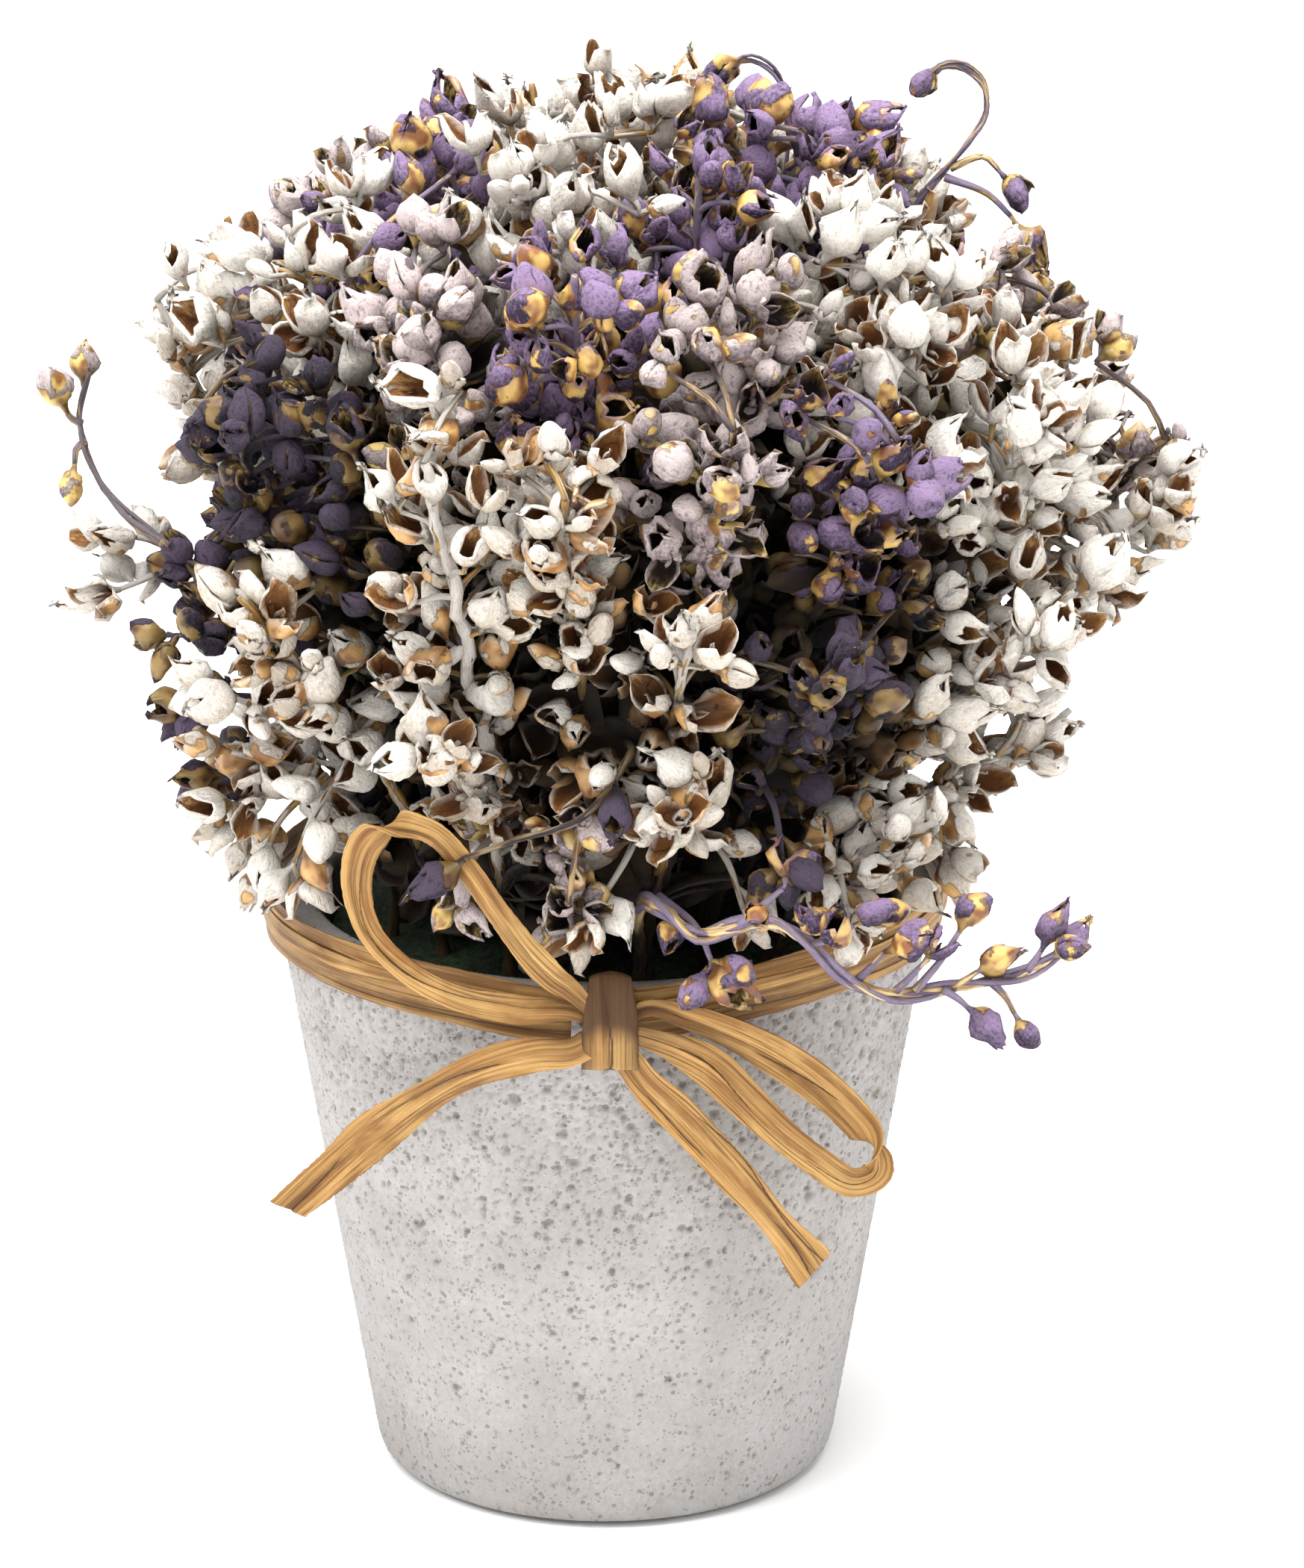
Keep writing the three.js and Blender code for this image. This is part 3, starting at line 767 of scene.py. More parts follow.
def weathered(rng, points, size=0.125):
    """The same points after some dents, a twist and a lean, so that no two husks are alike."""
    for _ in range(9):
        spot = np.array([*rng.normal(0, 0.35, 2), rng.uniform(0.15, 1.15)])
        near = np.exp(-((points - spot) ** 2).sum(axis=1) / rng.uniform(0.01, 0.06))
        points = points + near[:, None] * rng.normal(0, size, 3)
    height = points[:, 2]
    twist = rng.uniform(-0.8, 0.8) * height
    lean = rng.uniform(-0.2, 0.2, 2)
    x = points[:, 0] * np.cos(twist) - points[:, 1] * np.sin(twist) + lean[0] * height ** 2
    y = points[:, 0] * np.sin(twist) + points[:, 1] * np.cos(twist) + lean[1] * height ** 2
    return np.stack([x, y, height], axis=1)


def open_husk(rng, closing, lips, slant):
    """A pouch with a thick almond mouth drawn up into two points, and a hollow inside."""
    around = 20
    angle = (np.arange(around) * 2 * math.pi / around)[None, :]
    peak = np.abs(np.cos(angle)) ** 1.8
    ragged = 0.10 * np.sin(3 * angle + rng.uniform(0, 6)) + 0.08 * np.sin(7 * angle + rng.uniform(0, 6))
    mouth = 0.7 + lips * peak + slant * np.sin(angle) + ragged
    outside = np.array([0.03, 0.13, 0.28, 0.45, 0.62, 0.78, 0.90])[:, None] * mouth
    inside = np.array([0.93, 0.78, 0.55, 0.30, 0.14])[:, None] * mouth + 0.02
    lip = np.vstack([mouth * 0.98, mouth * 1.0 + 0.04, mouth * 0.98])
    thickness = np.array([-0.15, 0.5, 1.15])[:, None] * LIP * rng.uniform(0.7, 1.3, (1, around))
    heights = np.vstack([outside, lip, inside])
    radii = np.vstack([
        belly(outside, closing, HUSK_WIDTH),
        belly(mouth, closing, HUSK_WIDTH) - thickness,
        np.maximum(belly(inside, closing, HUSK_WIDTH) - 1.5 * LIP, 0.02),
    ])
    radii = radii * wobble(rng, angle, heights, 0.09) * rng.normal(1.0, 0.02, heights.shape)
    radii = radii * (1 + 0.3 * smoothstep(0.85, 1.15, heights) * peak)
    neck_height, neck_radius = neck(rng, around)
    heights, radii = np.vstack([neck_height, heights]), np.vstack([neck_radius, radii])
    flat = 0.92 - 0.45 * smoothstep(0.35, 1.0, heights)
    rings = np.stack([radii * np.cos(angle), flat * radii * np.sin(angle), heights], axis=-1)
    points, quads, triangles = sealed(rings, (0, 0, NECK[0, 0]), (0, 0, 0.1))
    hollow = np.repeat([0.0] * 10 + [0.1, 0.4] + [0.8, 1.0, 1.0, 1.0, 1.0], around)
    edge = np.repeat([0.0] * 8 + [0.3, 1.0, 1.0, 0.5] + [0.0] * 5, around)
    return weathered(rng, points), quads, triangles, np.append(hollow, [0, 1]), np.append(edge, [0, 0])


def closed_husk(rng, width, point, crack):
    """An ovoid that ends in a small point, with a crack down one side drawn dark in the hollow colour, partly
    as painted shade.
    """
    away_from_crack = np.linspace(0.42, 2 * math.pi - 0.42, 13)
    angle = np.concatenate([[0.0, 0.13], away_from_crack, [2 * math.pi - 0.13]])[None, :]
    around = angle.shape[1]
    height = np.array([0.02, 0.09, 0.2, 0.34, 0.5, 0.65, 0.78, 0.88, 0.95])[:, None]
    radii = belly(height, 0.93, width) * wobble(rng, angle, height, 0.05)
    radii = radii * rng.normal(1.0, 0.018, radii.shape)
    split = crack * smoothstep(0.2, 0.4, height) * smoothstep(1.0, 0.9, height)
    column = np.arange(around) == 0
    radii = radii * (1 - 0.5 * split * column - 0.10 * np.exp(-((np.sin(angle) / 0.25) ** 2)) * split)
    neck_height, neck_radius = neck(rng, around)
    heights = np.vstack([neck_height, height + 0 * angle])
    radii = np.vstack([neck_radius, radii])
    rings = np.stack([radii * np.cos(angle), 0.92 * radii * np.sin(angle), heights], axis=-1)
    points, quads, triangles = sealed(rings, (0, 0, NECK[0, 0]), (0, 0, 0.98 + point))
    hollow = np.append(np.vstack([np.zeros((2, around)), split * column]), [0, 0])
    edge = np.repeat(np.concatenate([[0, 0], smoothstep(0.8, 1.0, height.ravel())]), around)
    return weathered(rng, points, 0.07), quads, triangles, hollow, np.append(edge, [0, 1])


def boat(rng, length, width, arc, lean, turn, around=7):
    """Half a husk: a hollow boat-shaped leaf that leans out from the stalk."""
    height = np.array([0.04, 0.14, 0.3, 0.48, 0.66, 0.82, 0.94])[:, None]
    angle = np.linspace(-arc, arc, around)[None, :]
    radii = belly(height, 0.92, width) * wobble(rng, angle, height, 0.09)
    radii = radii * rng.normal(1.0, 0.03, radii.shape)
    wall = 0.065 * np.sin(math.pi * np.clip(height, 0.1, 0.95))
    outer = np.stack([radii * np.cos(angle), radii * np.sin(angle), height + 0 * angle], axis=-1)
    thinner = radii - wall
    inner = np.stack([thinner * np.cos(angle), thinner * np.sin(angle), height + 0 * angle], axis=-1)
    rings = np.concatenate([outer, inner[:, ::-1]], axis=1) - [0.5 * width, 0, 0]
    points, quads, triangles = sealed(rings, (0, 0, 0), (0.1 * width, 0, 1.04))
    points = points * [1, 1, length]
    leant = points[:, 0] * math.cos(lean) + points[:, 2] * math.sin(lean)
    z = points[:, 2] * math.cos(lean) - points[:, 0] * math.sin(lean)
    x = leant * math.cos(turn) - points[:, 1] * math.sin(turn)
    y = leant * math.sin(turn) + points[:, 1] * math.cos(turn)
    turned = np.stack([x, y, z], axis=1)
    hollow = np.tile(np.repeat([0.0, 1.0], around), len(height))
    edge = np.tile(np.abs(np.concatenate([angle[0], angle[0]])) / arc > 0.9, len(height)) * 1.0
    return turned, quads, triangles, np.append(hollow, [0, 0]), np.append(edge, [0, 1])


def joined(parts):
    """Several template parts as one."""
    count = 0
    gathered = ([], [], [], [], [])
    for points, quads, triangles, hollow, edge in parts:
        for store, values in zip(gathered, (points, quads + count, triangles + count, hollow, edge)):
            store.append(values)
        count += len(points)
    return tuple(np.concatenate(store) for store in gathered)


def split_husk(rng):
    """A husk burst into two leaves, with a shred of chaff between them."""
    first = boat(rng, 1.0, 0.36, 1.45, rng.uniform(0.35, 0.6), 0.0)
    second = boat(rng, 0.92, 0.34, 1.4, rng.uniform(0.4, 0.75), math.pi + rng.uniform(-0.3, 0.3))
    chaff = boat(rng, 0.6, 0.12, 1.0, rng.uniform(-0.2, 0.2), rng.uniform(0, 6), around=4)
    points, *rest = joined([first, second, chaff])
    return (weathered(rng, points), *rest)


def capped_husk(rng, width, point, crack):
    """A closed husk held by small leaves at its stalk."""
    leaves = []
    for turn in (0.0, 2.1, 4.2):
        length, lean = rng.uniform(0.4, 0.62), rng.uniform(0.45, 0.75)
        leaves.append(boat(rng, length, 0.26, 0.9, lean, turn + rng.uniform(-0.4, 0.4), 5))
    return joined([closed_husk(rng, width, point, crack)] + leaves)


def husk_templates():
    rng = np.random.default_rng(21)
    pouches = [
        open_husk(rng, rng.uniform(0.76, 0.92), rng.uniform(0.2, 0.55), rng.uniform(-0.34, 0.34))
        for _ in range(18)
    ]
    closed = [
        capped_husk(rng, rng.uniform(0.38, 0.46), rng.uniform(0.0, 0.08), rng.choice([0.0, 1.0]))
        for _ in range(10)
    ]
    return {
        "pouch": pouches,
        "closed": closed,
        "slim": [capped_husk(rng, rng.uniform(0.22, 0.29), 0.05, 0.0) for _ in range(6)],
        "split": [split_husk(rng) for _ in range(10)],
        "leaf": [boat(rng, 1.0, 0.3, 1.2, rng.uniform(0.1, 0.5), rng.uniform(0, 6), 4) for _ in range(4)],
    }


# ---------------------------------------------------------------- paint


def painted_material(name, light, dark, bare_light, bare_dark, hollow, cover):
    """Chalky paint over a dry husk or stem: worn to the bare skin in patches and missing deep inside, with
    painted shade deep in the ball, near the stalk and in the hollows, and painted light on upward faces.
    """
    nodes = Nodes(name)
    local = nodes.attribute("local", "Vector")
    tone = nodes.attribute("tone")
    shade = nodes.attribute("shade")
    reach = nodes.attribute("reach")
    inside = nodes.attribute("hollow")
    edge = nodes.attribute("edge")
    height = nodes.attribute("height")
    patch = nodes.noise(local, 1.35, 1.5)
    fine = nodes.noise(local, 10.0, 5.0, 0.7)
    wrinkle = nodes.noise(nodes.stretched(local, (11.0, 11.0, 2.5)), 1.0, 3.0, 0.6)
    worn = nodes.plus(nodes.times(fine, 0.14), nodes.times(patch, 0.86))
    limit = nodes.plus(nodes.times(tone, 0.26), cover - 0.13)
    limit = nodes.minus(limit, nodes.ramp(reach, 0.0, 1.0, 0.3, 0.0))
    limit = nodes.minus(limit, nodes.ramp(height, 0.05, 0.4, 0.12, 0.0))
    bare = nodes.ramp(nodes.minus(worn, limit), 0.0, 0.045)
    lit = nodes.plus(nodes.times(tone, 0.5), nodes.times(fine, 0.9))
    # Upward faces are drawn lighter and undersides darker: painted light from above.
    lit = nodes.plus(lit, nodes.times(nodes.upward(), 0.3))
    paint = nodes.mix(nodes.ramp(lit, 0.35, 0.95), dark, light)
    paint = nodes.mix(nodes.ramp(wrinkle, 0.56, 0.72, 0.0, 0.5), paint, light)
    paint = nodes.mix(nodes.ramp(wrinkle, 0.44, 0.32, 0.0, 0.6), paint, dark)
    paint = nodes.shaded(paint, nodes.ramp(shade, 0.0, 1.0, 0.18, 1.0))
    skin = nodes.mix(nodes.ramp(nodes.noise(local, 2.2, 1.0), 0.35, 0.62), bare_dark, bare_light)
    skin = nodes.shaded(skin, nodes.ramp(shade, 0.0, 1.0, 0.3, 1.0))
    colour = nodes.mix(bare, paint, skin)
    within = nodes.plus(inside, nodes.times(nodes.minus(fine, 0.5), 0.8))
    within = nodes.ramp(within, 0.3, 0.65)
    streaks = nodes.ramp(wrinkle, 0.35, 0.7)
    # The lining runs from the bare skin near the mouth to the hollow colour deeper in: partly the inside's
    # own colour, partly painted shade in the hollow.
    lining = nodes.mix(streaks, hollow, nodes.mix(nodes.ramp(height, 0.3, 0.95), hollow, bare_light))
    colour = nodes.mix(within, colour, lining)
    colour = nodes.mix(nodes.times(edge, 0.5), colour, paint)
    colour = nodes.shaded(colour, nodes.ramp(fine, 0.25, 0.5, 0.84, 1.0))
    # Darker towards the stalk: painted shade where the husk meets it.
    colour = nodes.shaded(colour, nodes.ramp(height, 0.0, 0.45, 0.55, 1.0))
    # Darker deep in the ball, where reach is low: painted shade.
    colour = nodes.shaded(colour, nodes.ramp(reach, 0.0, 1.0, 0.05, 1.0))
    matte = nodes.minus(0.82, nodes.times(bare, 0.45))
    matte = nodes.math("MAXIMUM", matte, nodes.ramp(reach, 0.0, 0.7, 1.0, 0.3))
    covered = nodes.minus(1.0, nodes.times(bare, 0.85))
    relief = nodes.times(nodes.plus(fine, wrinkle), covered)
    nodes.shader.inputs["Specular IOR Level"].default_value = 0.4
    return nodes.finish(colour, matte, nodes.bump(relief, 0.42 * MM, 1.0))


# Of each paint: its light and dark, drawn lighter on upward faces as painted light, the light and dark of the
# bare skin, the hollow's colour, dark deep in a husk as painted shade, and its cover.
PAINTS = {
    "white_husk": [(240, 234, 225), (198, 184, 166), (200, 156, 100), (140, 98, 58), (124, 80, 44), 0.60],
    "white_stem": [(240, 233, 224), (204, 193, 178), (176, 140, 80), (122, 92, 52), (120, 84, 48), 0.56],
    "purple_husk": [(150, 127, 162), (44, 30, 52), (212, 174, 102), (128, 82, 50), (26, 19, 28), 0.555],
    "purple_stem": [(176, 160, 186), (104, 86, 122), (216, 188, 138), (150, 118, 78), (50, 38, 46), 0.52],
    "grey_husk": [(210, 194, 192), (98, 82, 88), (214, 182, 110), (128, 86, 48), (44, 31, 28), 0.525],
    "grey_stem": [(150, 138, 142), (92, 80, 86), (160, 134, 96), (100, 78, 54), (50, 38, 38), 0.52],
}


def paint_set():
    """The husk and stem materials of each kind of sprig."""
    materials = {}
    for name, (*colours, cover) in PAINTS.items():
        kind = name.split("_")[0]
        material = painted_material(name, *(rgba(*colour) for colour in colours), cover)
        materials.setdefault(kind, []).append(material)
    return materials


# ---------------------------------------------------------------- sprigs

STALK_GRAIN = 150.0
HUSK_APART = 2.9 * MM
NODE_STEP = 3.0 * MM
LINE_STEP = 1.0 * MM
STEM_GIRTH = 1.7 * MM
MAIN_STEM = 0.85 * MM
TIP_SPACE = 6 * MM
HUSK_ROOM = 4.6 * MM
# How far into the ball light and paint reach: less reach is drawn darker as painted shade and with less
# paint.
SHADE_AND_PAINT_FROM = 0.62
SHADE_AND_PAINT_TO = 0.9
SHADE_AND_PAINT_DEEPER = 0.28
SHADE_AND_PAINT_LEVELS = (32 * MM, 70 * MM)
UNDERSIDE_DEPTH = 30 * MM
UNDERSIDE_ANGLES = (-42, -58)
OUTERMOST_HUSK = 0.95
OUTERMOST_STEM = 0.94
BOW_ROOM = 5.2 * MM
SIGHT_SLOPE = 0.32
OVER_BOW = "purple_sprig_06"
FILL_TRIES = 6500
CLUMPING = 0.35
CORE_LEAVES = 46
CORE_LEAF_LENGTHS = (6, 11)
FILL_APART = 4.0 * MM
FILL_LOWEST = math.radians(-46)
CORE_DEPTH = 0.72
CORE_REACH = 0.76

HUSK_VARIETY = (0.74, 1.08)
HUSK_LENGTH = {"pouch": 5.7 * MM, "closed": 5.9 * MM, "slim": 5.6 * MM, "split": 6.0 * MM}
HUSK_SIZE = {"white": 0.95, "purple": 0.84, "grey": 0.86}
HUSK_SHARES = {
    "white": {"pouch": 0.36, "split": 0.42, "slim": 0.18, "closed": 0.04},
    "purple": {"pouch": 0.34, "split": 0.14, "slim": 0.10, "closed": 0.42},
    "grey": {"pouch": 0.34, "split": 0.22, "slim": 0.12, "closed": 0.32},
}
# What sets some sprigs apart: how full of husks they are in front, whether their stem shows, how bright their
# paint is and the range of its tones, partly their own colour and partly painted light on sprigs high in the
# ball and painted shade on some low and side ones, and how far they spread among the others.
FULLNESS = {"white_sprig_13": 0.2, "white_sprig_06": 0.6, "white_sprig_15": 0.6, "purple_sprig_06": 0.6}
SHOWN_STEMS = ["white_sprig_13"]
SHOWN_STEM_GIRTH = 1.35
SHOWN_STEM_WAVE = 3.0
SHOWN_STEM_LIGHT = 0.9
SHADES = {
    "purple_sprig_05": 0.2, "purple_sprig_06": 0.1, "purple_sprig_08": 0.0, "purple_sprig_09": 0.7,
    "purple_sprig_11": 0.4, "white_sprig_20": 1.0, "white_sprig_21": 1.0, "white_sprig_24": 1.0,
    "white_sprig_08": 1.0, "white_sprig_16": 1.0,
}
USUAL_TONES = (0.0, 1.0)
STRAY_TONES = (0.0, 0.6)
TONES = {
    "white_sprig_20": (0.5, 1.1), "white_sprig_21": (0.55, 1.15), "white_sprig_24": (0.5, 1.1),
    "white_sprig_16": (0.5, 1.1), "white_sprig_08": (0.4, 1.1), "white_sprig_09": (0.2, 1.0),
    "purple_sprig_15": (0.1, 1.0), "purple_sprig_16": (0.1, 1.0), "grey_sprig_07": (0.3, 1.1),
    "grey_sprig_05": (0.3, 1.1), "grey_sprig_08": (0.4, 1.2),
}
SPREAD = {
    "purple_sprig_05": 1.35, "purple_sprig_06": 1.6, "purple_sprig_08": 1.5, "purple_sprig_09": 1.3,
    "white_sprig_05": 0.85, "white_sprig_08": 1.15, "white_sprig_13": 0.8, "white_sprig_16": 1.2,
    "white_sprig_02": 0.85, "white_sprig_15": 0.8,
    "white_sprig_20": 1.25, "white_sprig_21": 1.75, "white_sprig_22": 1.3, "white_sprig_24": 1.5,
    "white_sprig_26": 1.4,
}

# Thin side shoots that show, by the sprig they leave: their route, how many clusters hang on the way, and how
# many husks are at the end.
SIDE_TWIGS = {
    "purple_sprig_06": [
        ([(2, -30, 93), (3, -38, 94), (-2, -41, 88), (-9, -42.4, 86), (-14, -42, 84)], 1, 1),
        ([(14, -26, 90), (18, -36, 88), (19, -39.5, 83)], 2, 3),
    ],
    "purple_sprig_01": [
        ([(6, -34, 77), (10, -38.5, 75), (11.5, -40.4, 72)], 1, 3),
        ([(14.4, -42.4, 76.6), (17, -42.6, 79), (19, -42.4, 80.6)], 1, 3),
        ([(22, -42.4, 74.4), (24.6, -42.4, 75.4), (26.4, -42, 76.4)], 1, 3),
        ([(27, -42, 70.4), (28.6, -42.2, 72.2), (29.6, -42, 73.4)], 0, 4),
        ([(31, -41.6, 69), (32.4, -42, 70.6), (33.4, -41.6, 71.6)], 0, 4),
        ([(33, -41, 68.8), (35.6, -40.8, 72), (37.6, -40, 75)], 0, 1),
        ([(37, -39.6, 68.6), (38.4, -39.8, 69.6), (39.6, -39.6, 70.4)], 0, 3),
        ([(36, -40, 68.6), (37.6, -40.2, 67.6), (38.6, -40, 66.6)], 0, 2),
        ([(41, -38.4, 69), (42.6, -38.8, 67.4), (43.6, -38.8, 65.6)], 0, 3),
        ([(45, -37, 69.6), (46, -37, 71), (46.6, -36.8, 72)], 0, 3),
    ],
    "purple_sprig_02": [
        ([(19.4, 5, 145), (16.4, 2.4, 148), (14.6, 1.6, 149.6)], 0, 3),
        ([(20, 5, 147), (23.6, 3.4, 150), (25.4, 3, 151)], 1, 4),
        ([(19.4, 5, 142), (25, 3, 145), (28.6, 2.4, 146)], 2, 4),
    ],
    "purple_sprig_03": [
        ([(38, 12, 145.4), (41.6, 11.6, 146.8), (43.2, 11.4, 145.4)], 0, 2),
        ([(37.4, 12, 144.4), (42, 11, 142.8), (44.6, 10.6, 140.4)], 0, 2),
    ],
    "purple_sprig_14": [
        ([(-20, -8, 132), (-27, -14, 137), (-24, -16, 144), (-16, -12, 150)], 3, 3),
        ([(-16, -4, 138), (-26, -6, 138), (-33, -8, 136)], 3, 3),
        ([(-16, -2, 140), (-24, 0, 144), (-29, 0, 143)], 3, 3),
    ],
    "grey_sprig_01": [
        ([(-56, -5, 119), (-57, -5.6, 118.4), (-57.2, -6, 116.8)], 0, 2),
        ([(-56.4, -5, 121), (-57.6, -5.4, 121.8), (-58, -5.6, 122.6)], 0, 2),
    ],
    "grey_sprig_02": [
        ([(-8, -28, 84), (-13, -34, 82), (-15, -35.4, 78)], 2, 3),
    ],
    "white_sprig_07": [
        ([(4, -26, 84), (3, -34, 82), (-1, -37, 76)], 2, 3),
        ([(8, -26, 84), (13, -33, 81), (15, -36, 76)], 2, 3),
    ],
    "white_sprig_02": [
        ([(22, -24, 82), (25, -30, 79), (26, -31, 75)], 3, 3),
        ([(24, -22, 84), (30, -25, 82), (32, -25, 77)], 3, 3),
    ],
    "white_sprig_03": [
        ([(30, -12, 84), (36, -16, 81), (37, -16, 77)], 3, 3),
    ],
    "white_sprig_01": [
        ([(-30, -14, 84), (-35, -18, 80), (-37, -18, 75)], 3, 3),
        ([(-28, -18, 86), (-31, -26, 83), (-33, -26, 78)], 3, 3),
        ([(-34, -4, 84), (-38, -6, 80), (-39, -8, 76)], 3, 3),
        ([(-33, -12, 84), (-38, -17, 87), (-40.6, -18, 88)], 3, 4),
        ([(-33, -12, 82), (-37, -15, 82), (-39.6, -15, 81)], 3, 4),
    ],
    "white_sprig_05": [
        ([(-34, -18, 92), (-38, -20, 94), (-41, -20, 95)], 3, 4),
    ],
    "purple_sprig_05": [
        ([(-38, -5, 90), (-42, -8, 91), (-44.6, -8, 90)], 3, 4),
        ([(-40, -5, 96), (-44, -8, 98), (-46.4, -8, 98)], 3, 4),
        ([(-36, -5, 86), (-39, -7, 84), (-41.4, -7, 82)], 3, 3),
    ],
    "white_sprig_12": [
        ([(-46, 2, 104), (-50, -3, 103), (-53, -4, 102)], 3, 4),
        ([(-46, 2, 104), (-50, 0, 106.6), (-53, 0, 107)], 3, 4),
    ],
    "white_sprig_24": [
        ([(-5, -2, 147), (-3, -1, 153), (-1, 0, 157)], 4, 4),
    ],
    "white_sprig_04": [
        ([(-34, 14, 82), (-38, 9, 82), (-41, 8, 81)], 3, 4),
    ],
}

# The twigs that stray out of the ball: the route and radius of the stem, and how many husks its tip carries.
TWIGS = {
    "purple_sprig_01": ([
        (4, -20, 53), (4, -26, 66), (4.2, -33.6, 76), (7, -39.6, 77), (10, -41.6, 75.2), (14.4, -42.4, 76.6),
        (18, -42.4, 76.8), (21.6, -42.4, 74.6), (25, -42.2, 71.2), (30, -41.6, 68.6), (37, -39.6, 68.6),
        (45, -37, 69.4), (50, -35.6, 72.4),
    ], 0.75, 3),
    "grey_sprig_01": ([
        (-13, -1, 53), (-16, -2, 74), (-32, -4, 96), (-47, -5, 107), (-53, -5, 112), (-55.8, -5, 117),
        (-56.6, -5, 122), (-55.4, -5, 127),
    ], 0.6, 2),
    "purple_sprig_02": ([
        (3, 3, 53), (6, 4, 90), (14, 5, 130), (19.6, 5.4, 146), (20, 5, 153), (18.6, 4.4, 157.6),
        (15.6, 4, 159.4), (12.6, 3.6, 157.6),
    ], 0.5, 2),
    "purple_sprig_03": ([
        (7, 5, 53), (11, 8, 95), (24, 11, 126), (34, 12, 141), (39, 12, 147), (41.8, 12, 151.4),
        (41.6, 12, 154.6), (39.4, 12, 156.8), (37, 12, 157), (35, 12, 155.6),
    ], 0.55, 1),
}


def measured_line(node):
    """The middle line of a sprig's CAD mesh and its half width, from spheres that grow from its root."""
    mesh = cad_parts[node].data
    points = np.array([vertex.co for vertex in mesh.vertices])
    edges = np.array([edge.vertices[:] for edge in mesh.edges])
    root = points[points[:, 2] < points[:, 2].min() + 0.2 * MM].mean(axis=0)
    away = np.linalg.norm(points - root, axis=1)
    start, end = points[edges[:, 0]], points[edges[:, 1]]
    near, far = away[edges[:, 0]], away[edges[:, 1]]
    line, girth = [root], [0.9 * MM]
    for radius in np.arange(3 * MM, away.max() - 0.5 * MM, 1.5 * MM):
        crossing = (near - radius) * (far - radius) < 0
        if crossing.sum() < 3:
            continue
        share = (radius - near[crossing]) / (far - near)[crossing]
        spots = start[crossing] + share[:, None] * (end - start)[crossing]
        middle = spots.mean(axis=0)
        line.append(middle)
        girth.append(np.linalg.norm(spots - middle, axis=1).mean())
    line.append(points[away.argmax()])
    girth.append(1 * MM)
    return np.array(line), np.array(girth)


def softened(values, rounds=3):
    values = values.copy()
    for _ in range(rounds):
        values[1:-1] = (values[:-2] + 2 * values[1:-1] + values[2:]) / 4
    return values


class Envelope:
    """How far the CAD heads stand out from the middle of the ball in each direction."""

    ROWS, COLUMNS = 37, 72
    CONE = math.cos(math.radians(13))

    def __init__(self, nodes):
        points = np.vstack([
            np.array([vertex.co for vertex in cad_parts[node].data.vertices]) for node in nodes
        ])
        away = points[points[:, 2] > RIM_HEIGHT + 3 * MM] - BALL_CENTRE
        distance = np.linalg.norm(away, axis=1)
        heading = unit(away)
        self.grid = np.zeros((self.ROWS, self.COLUMNS))
        for row in range(self.ROWS):
            for column in range(self.COLUMNS):
                rise = math.pi * (row / (self.ROWS - 1) - 0.5)
                turn = 2 * math.pi * column / self.COLUMNS
                flat = math.cos(rise)
                towards = np.array([flat * math.sin(turn), -flat * math.cos(turn), math.sin(rise)])
                near = heading @ towards > self.CONE
                self.grid[row, column] = np.percentile(distance[near], 88) if near.sum() > 3 else 0.0
        self.grid[self.grid == 0.0] = np.median(self.grid[self.grid > 0])
        below = np.degrees(math.pi * (np.arange(self.ROWS) / (self.ROWS - 1) - 0.5))
        # The envelope is made deeper underneath, so that points there count as deep inside: drawn darker with
        # painted shade, with less paint, and with room for husks.
        self.grid += (UNDERSIDE_DEPTH * smoothstep(*UNDERSIDE_ANGLES, below))[:, None]

    def at(self, points):
        """The reach of the heads in the direction of each point."""
        away = points - BALL_CENTRE
        rise = np.arcsin(np.clip(unit(away)[:, 2], -1, 1)) / math.pi + 0.5
        turn = np.arctan2(away[:, 0], -away[:, 1]) / (2 * math.pi) % 1.0
        row = rise * (self.ROWS - 1)
        column = turn * self.COLUMNS
        low_row = np.clip(row.astype(int), 0, self.ROWS - 2)
        low_column = column.astype(int) % self.COLUMNS
        up, across = (row - low_row), (column - column.astype(int))
        next_column = (low_column + 1) % self.COLUMNS
        grid = self.grid
        lower = grid[low_row, low_column] * (1 - across) + grid[low_row, next_column] * across
        upper = grid[low_row + 1, low_column] * (1 - across) + grid[low_row + 1, next_column] * across
        return lower * (1 - up) + upper * up

    def share(self, points):
        """Distance from the middle of the ball, as a share of the envelope: 1 on the outside."""
        return np.linalg.norm(points - BALL_CENTRE, axis=1) / self.at(points)


class Bouquet:
    """What the sprigs share: husk templates, the ball's envelope and where husks already are."""

    def __init__(self, nodes):
        self.templates = husk_templates()
        self.envelope = Envelope([node for node in nodes if node not in TWIGS])
        self.centres = np.zeros((0, 3))
        self.loop = smooth_route(np.array(LOOP_LEFT) * MM, 60)

    def clear(self, place, distance):
        return not len(self.centres) or np.min(((self.centres - place) ** 2).sum(axis=1)) > distance ** 2

    def take(self, place):
        self.centres = np.vstack([self.centres, place])

    def hides_bow(self, place):
        """Whether something at a place would hang in front of the bow's standing loop."""
        away = self.loop - place
        beside = np.hypot(away[:, 0], away[:, 2] + SIGHT_SLOPE * away[:, 1])
        return np.any((beside < BOW_ROOM) & (away[:, 1] > -2 * MM))

    def painted(self, points):
        """How much light and paint reach each point: more towards the outside, and deeper at the top. Less
        reach is drawn darker as painted shade and with less paint.
        """
        deeper = SHADE_AND_PAINT_DEEPER * smoothstep(*SHADE_AND_PAINT_LEVELS, points[:, 2] - RIM_HEIGHT)
        return smoothstep(SHADE_AND_PAINT_FROM, SHADE_AND_PAINT_TO, self.envelope.share(points) + deeper)


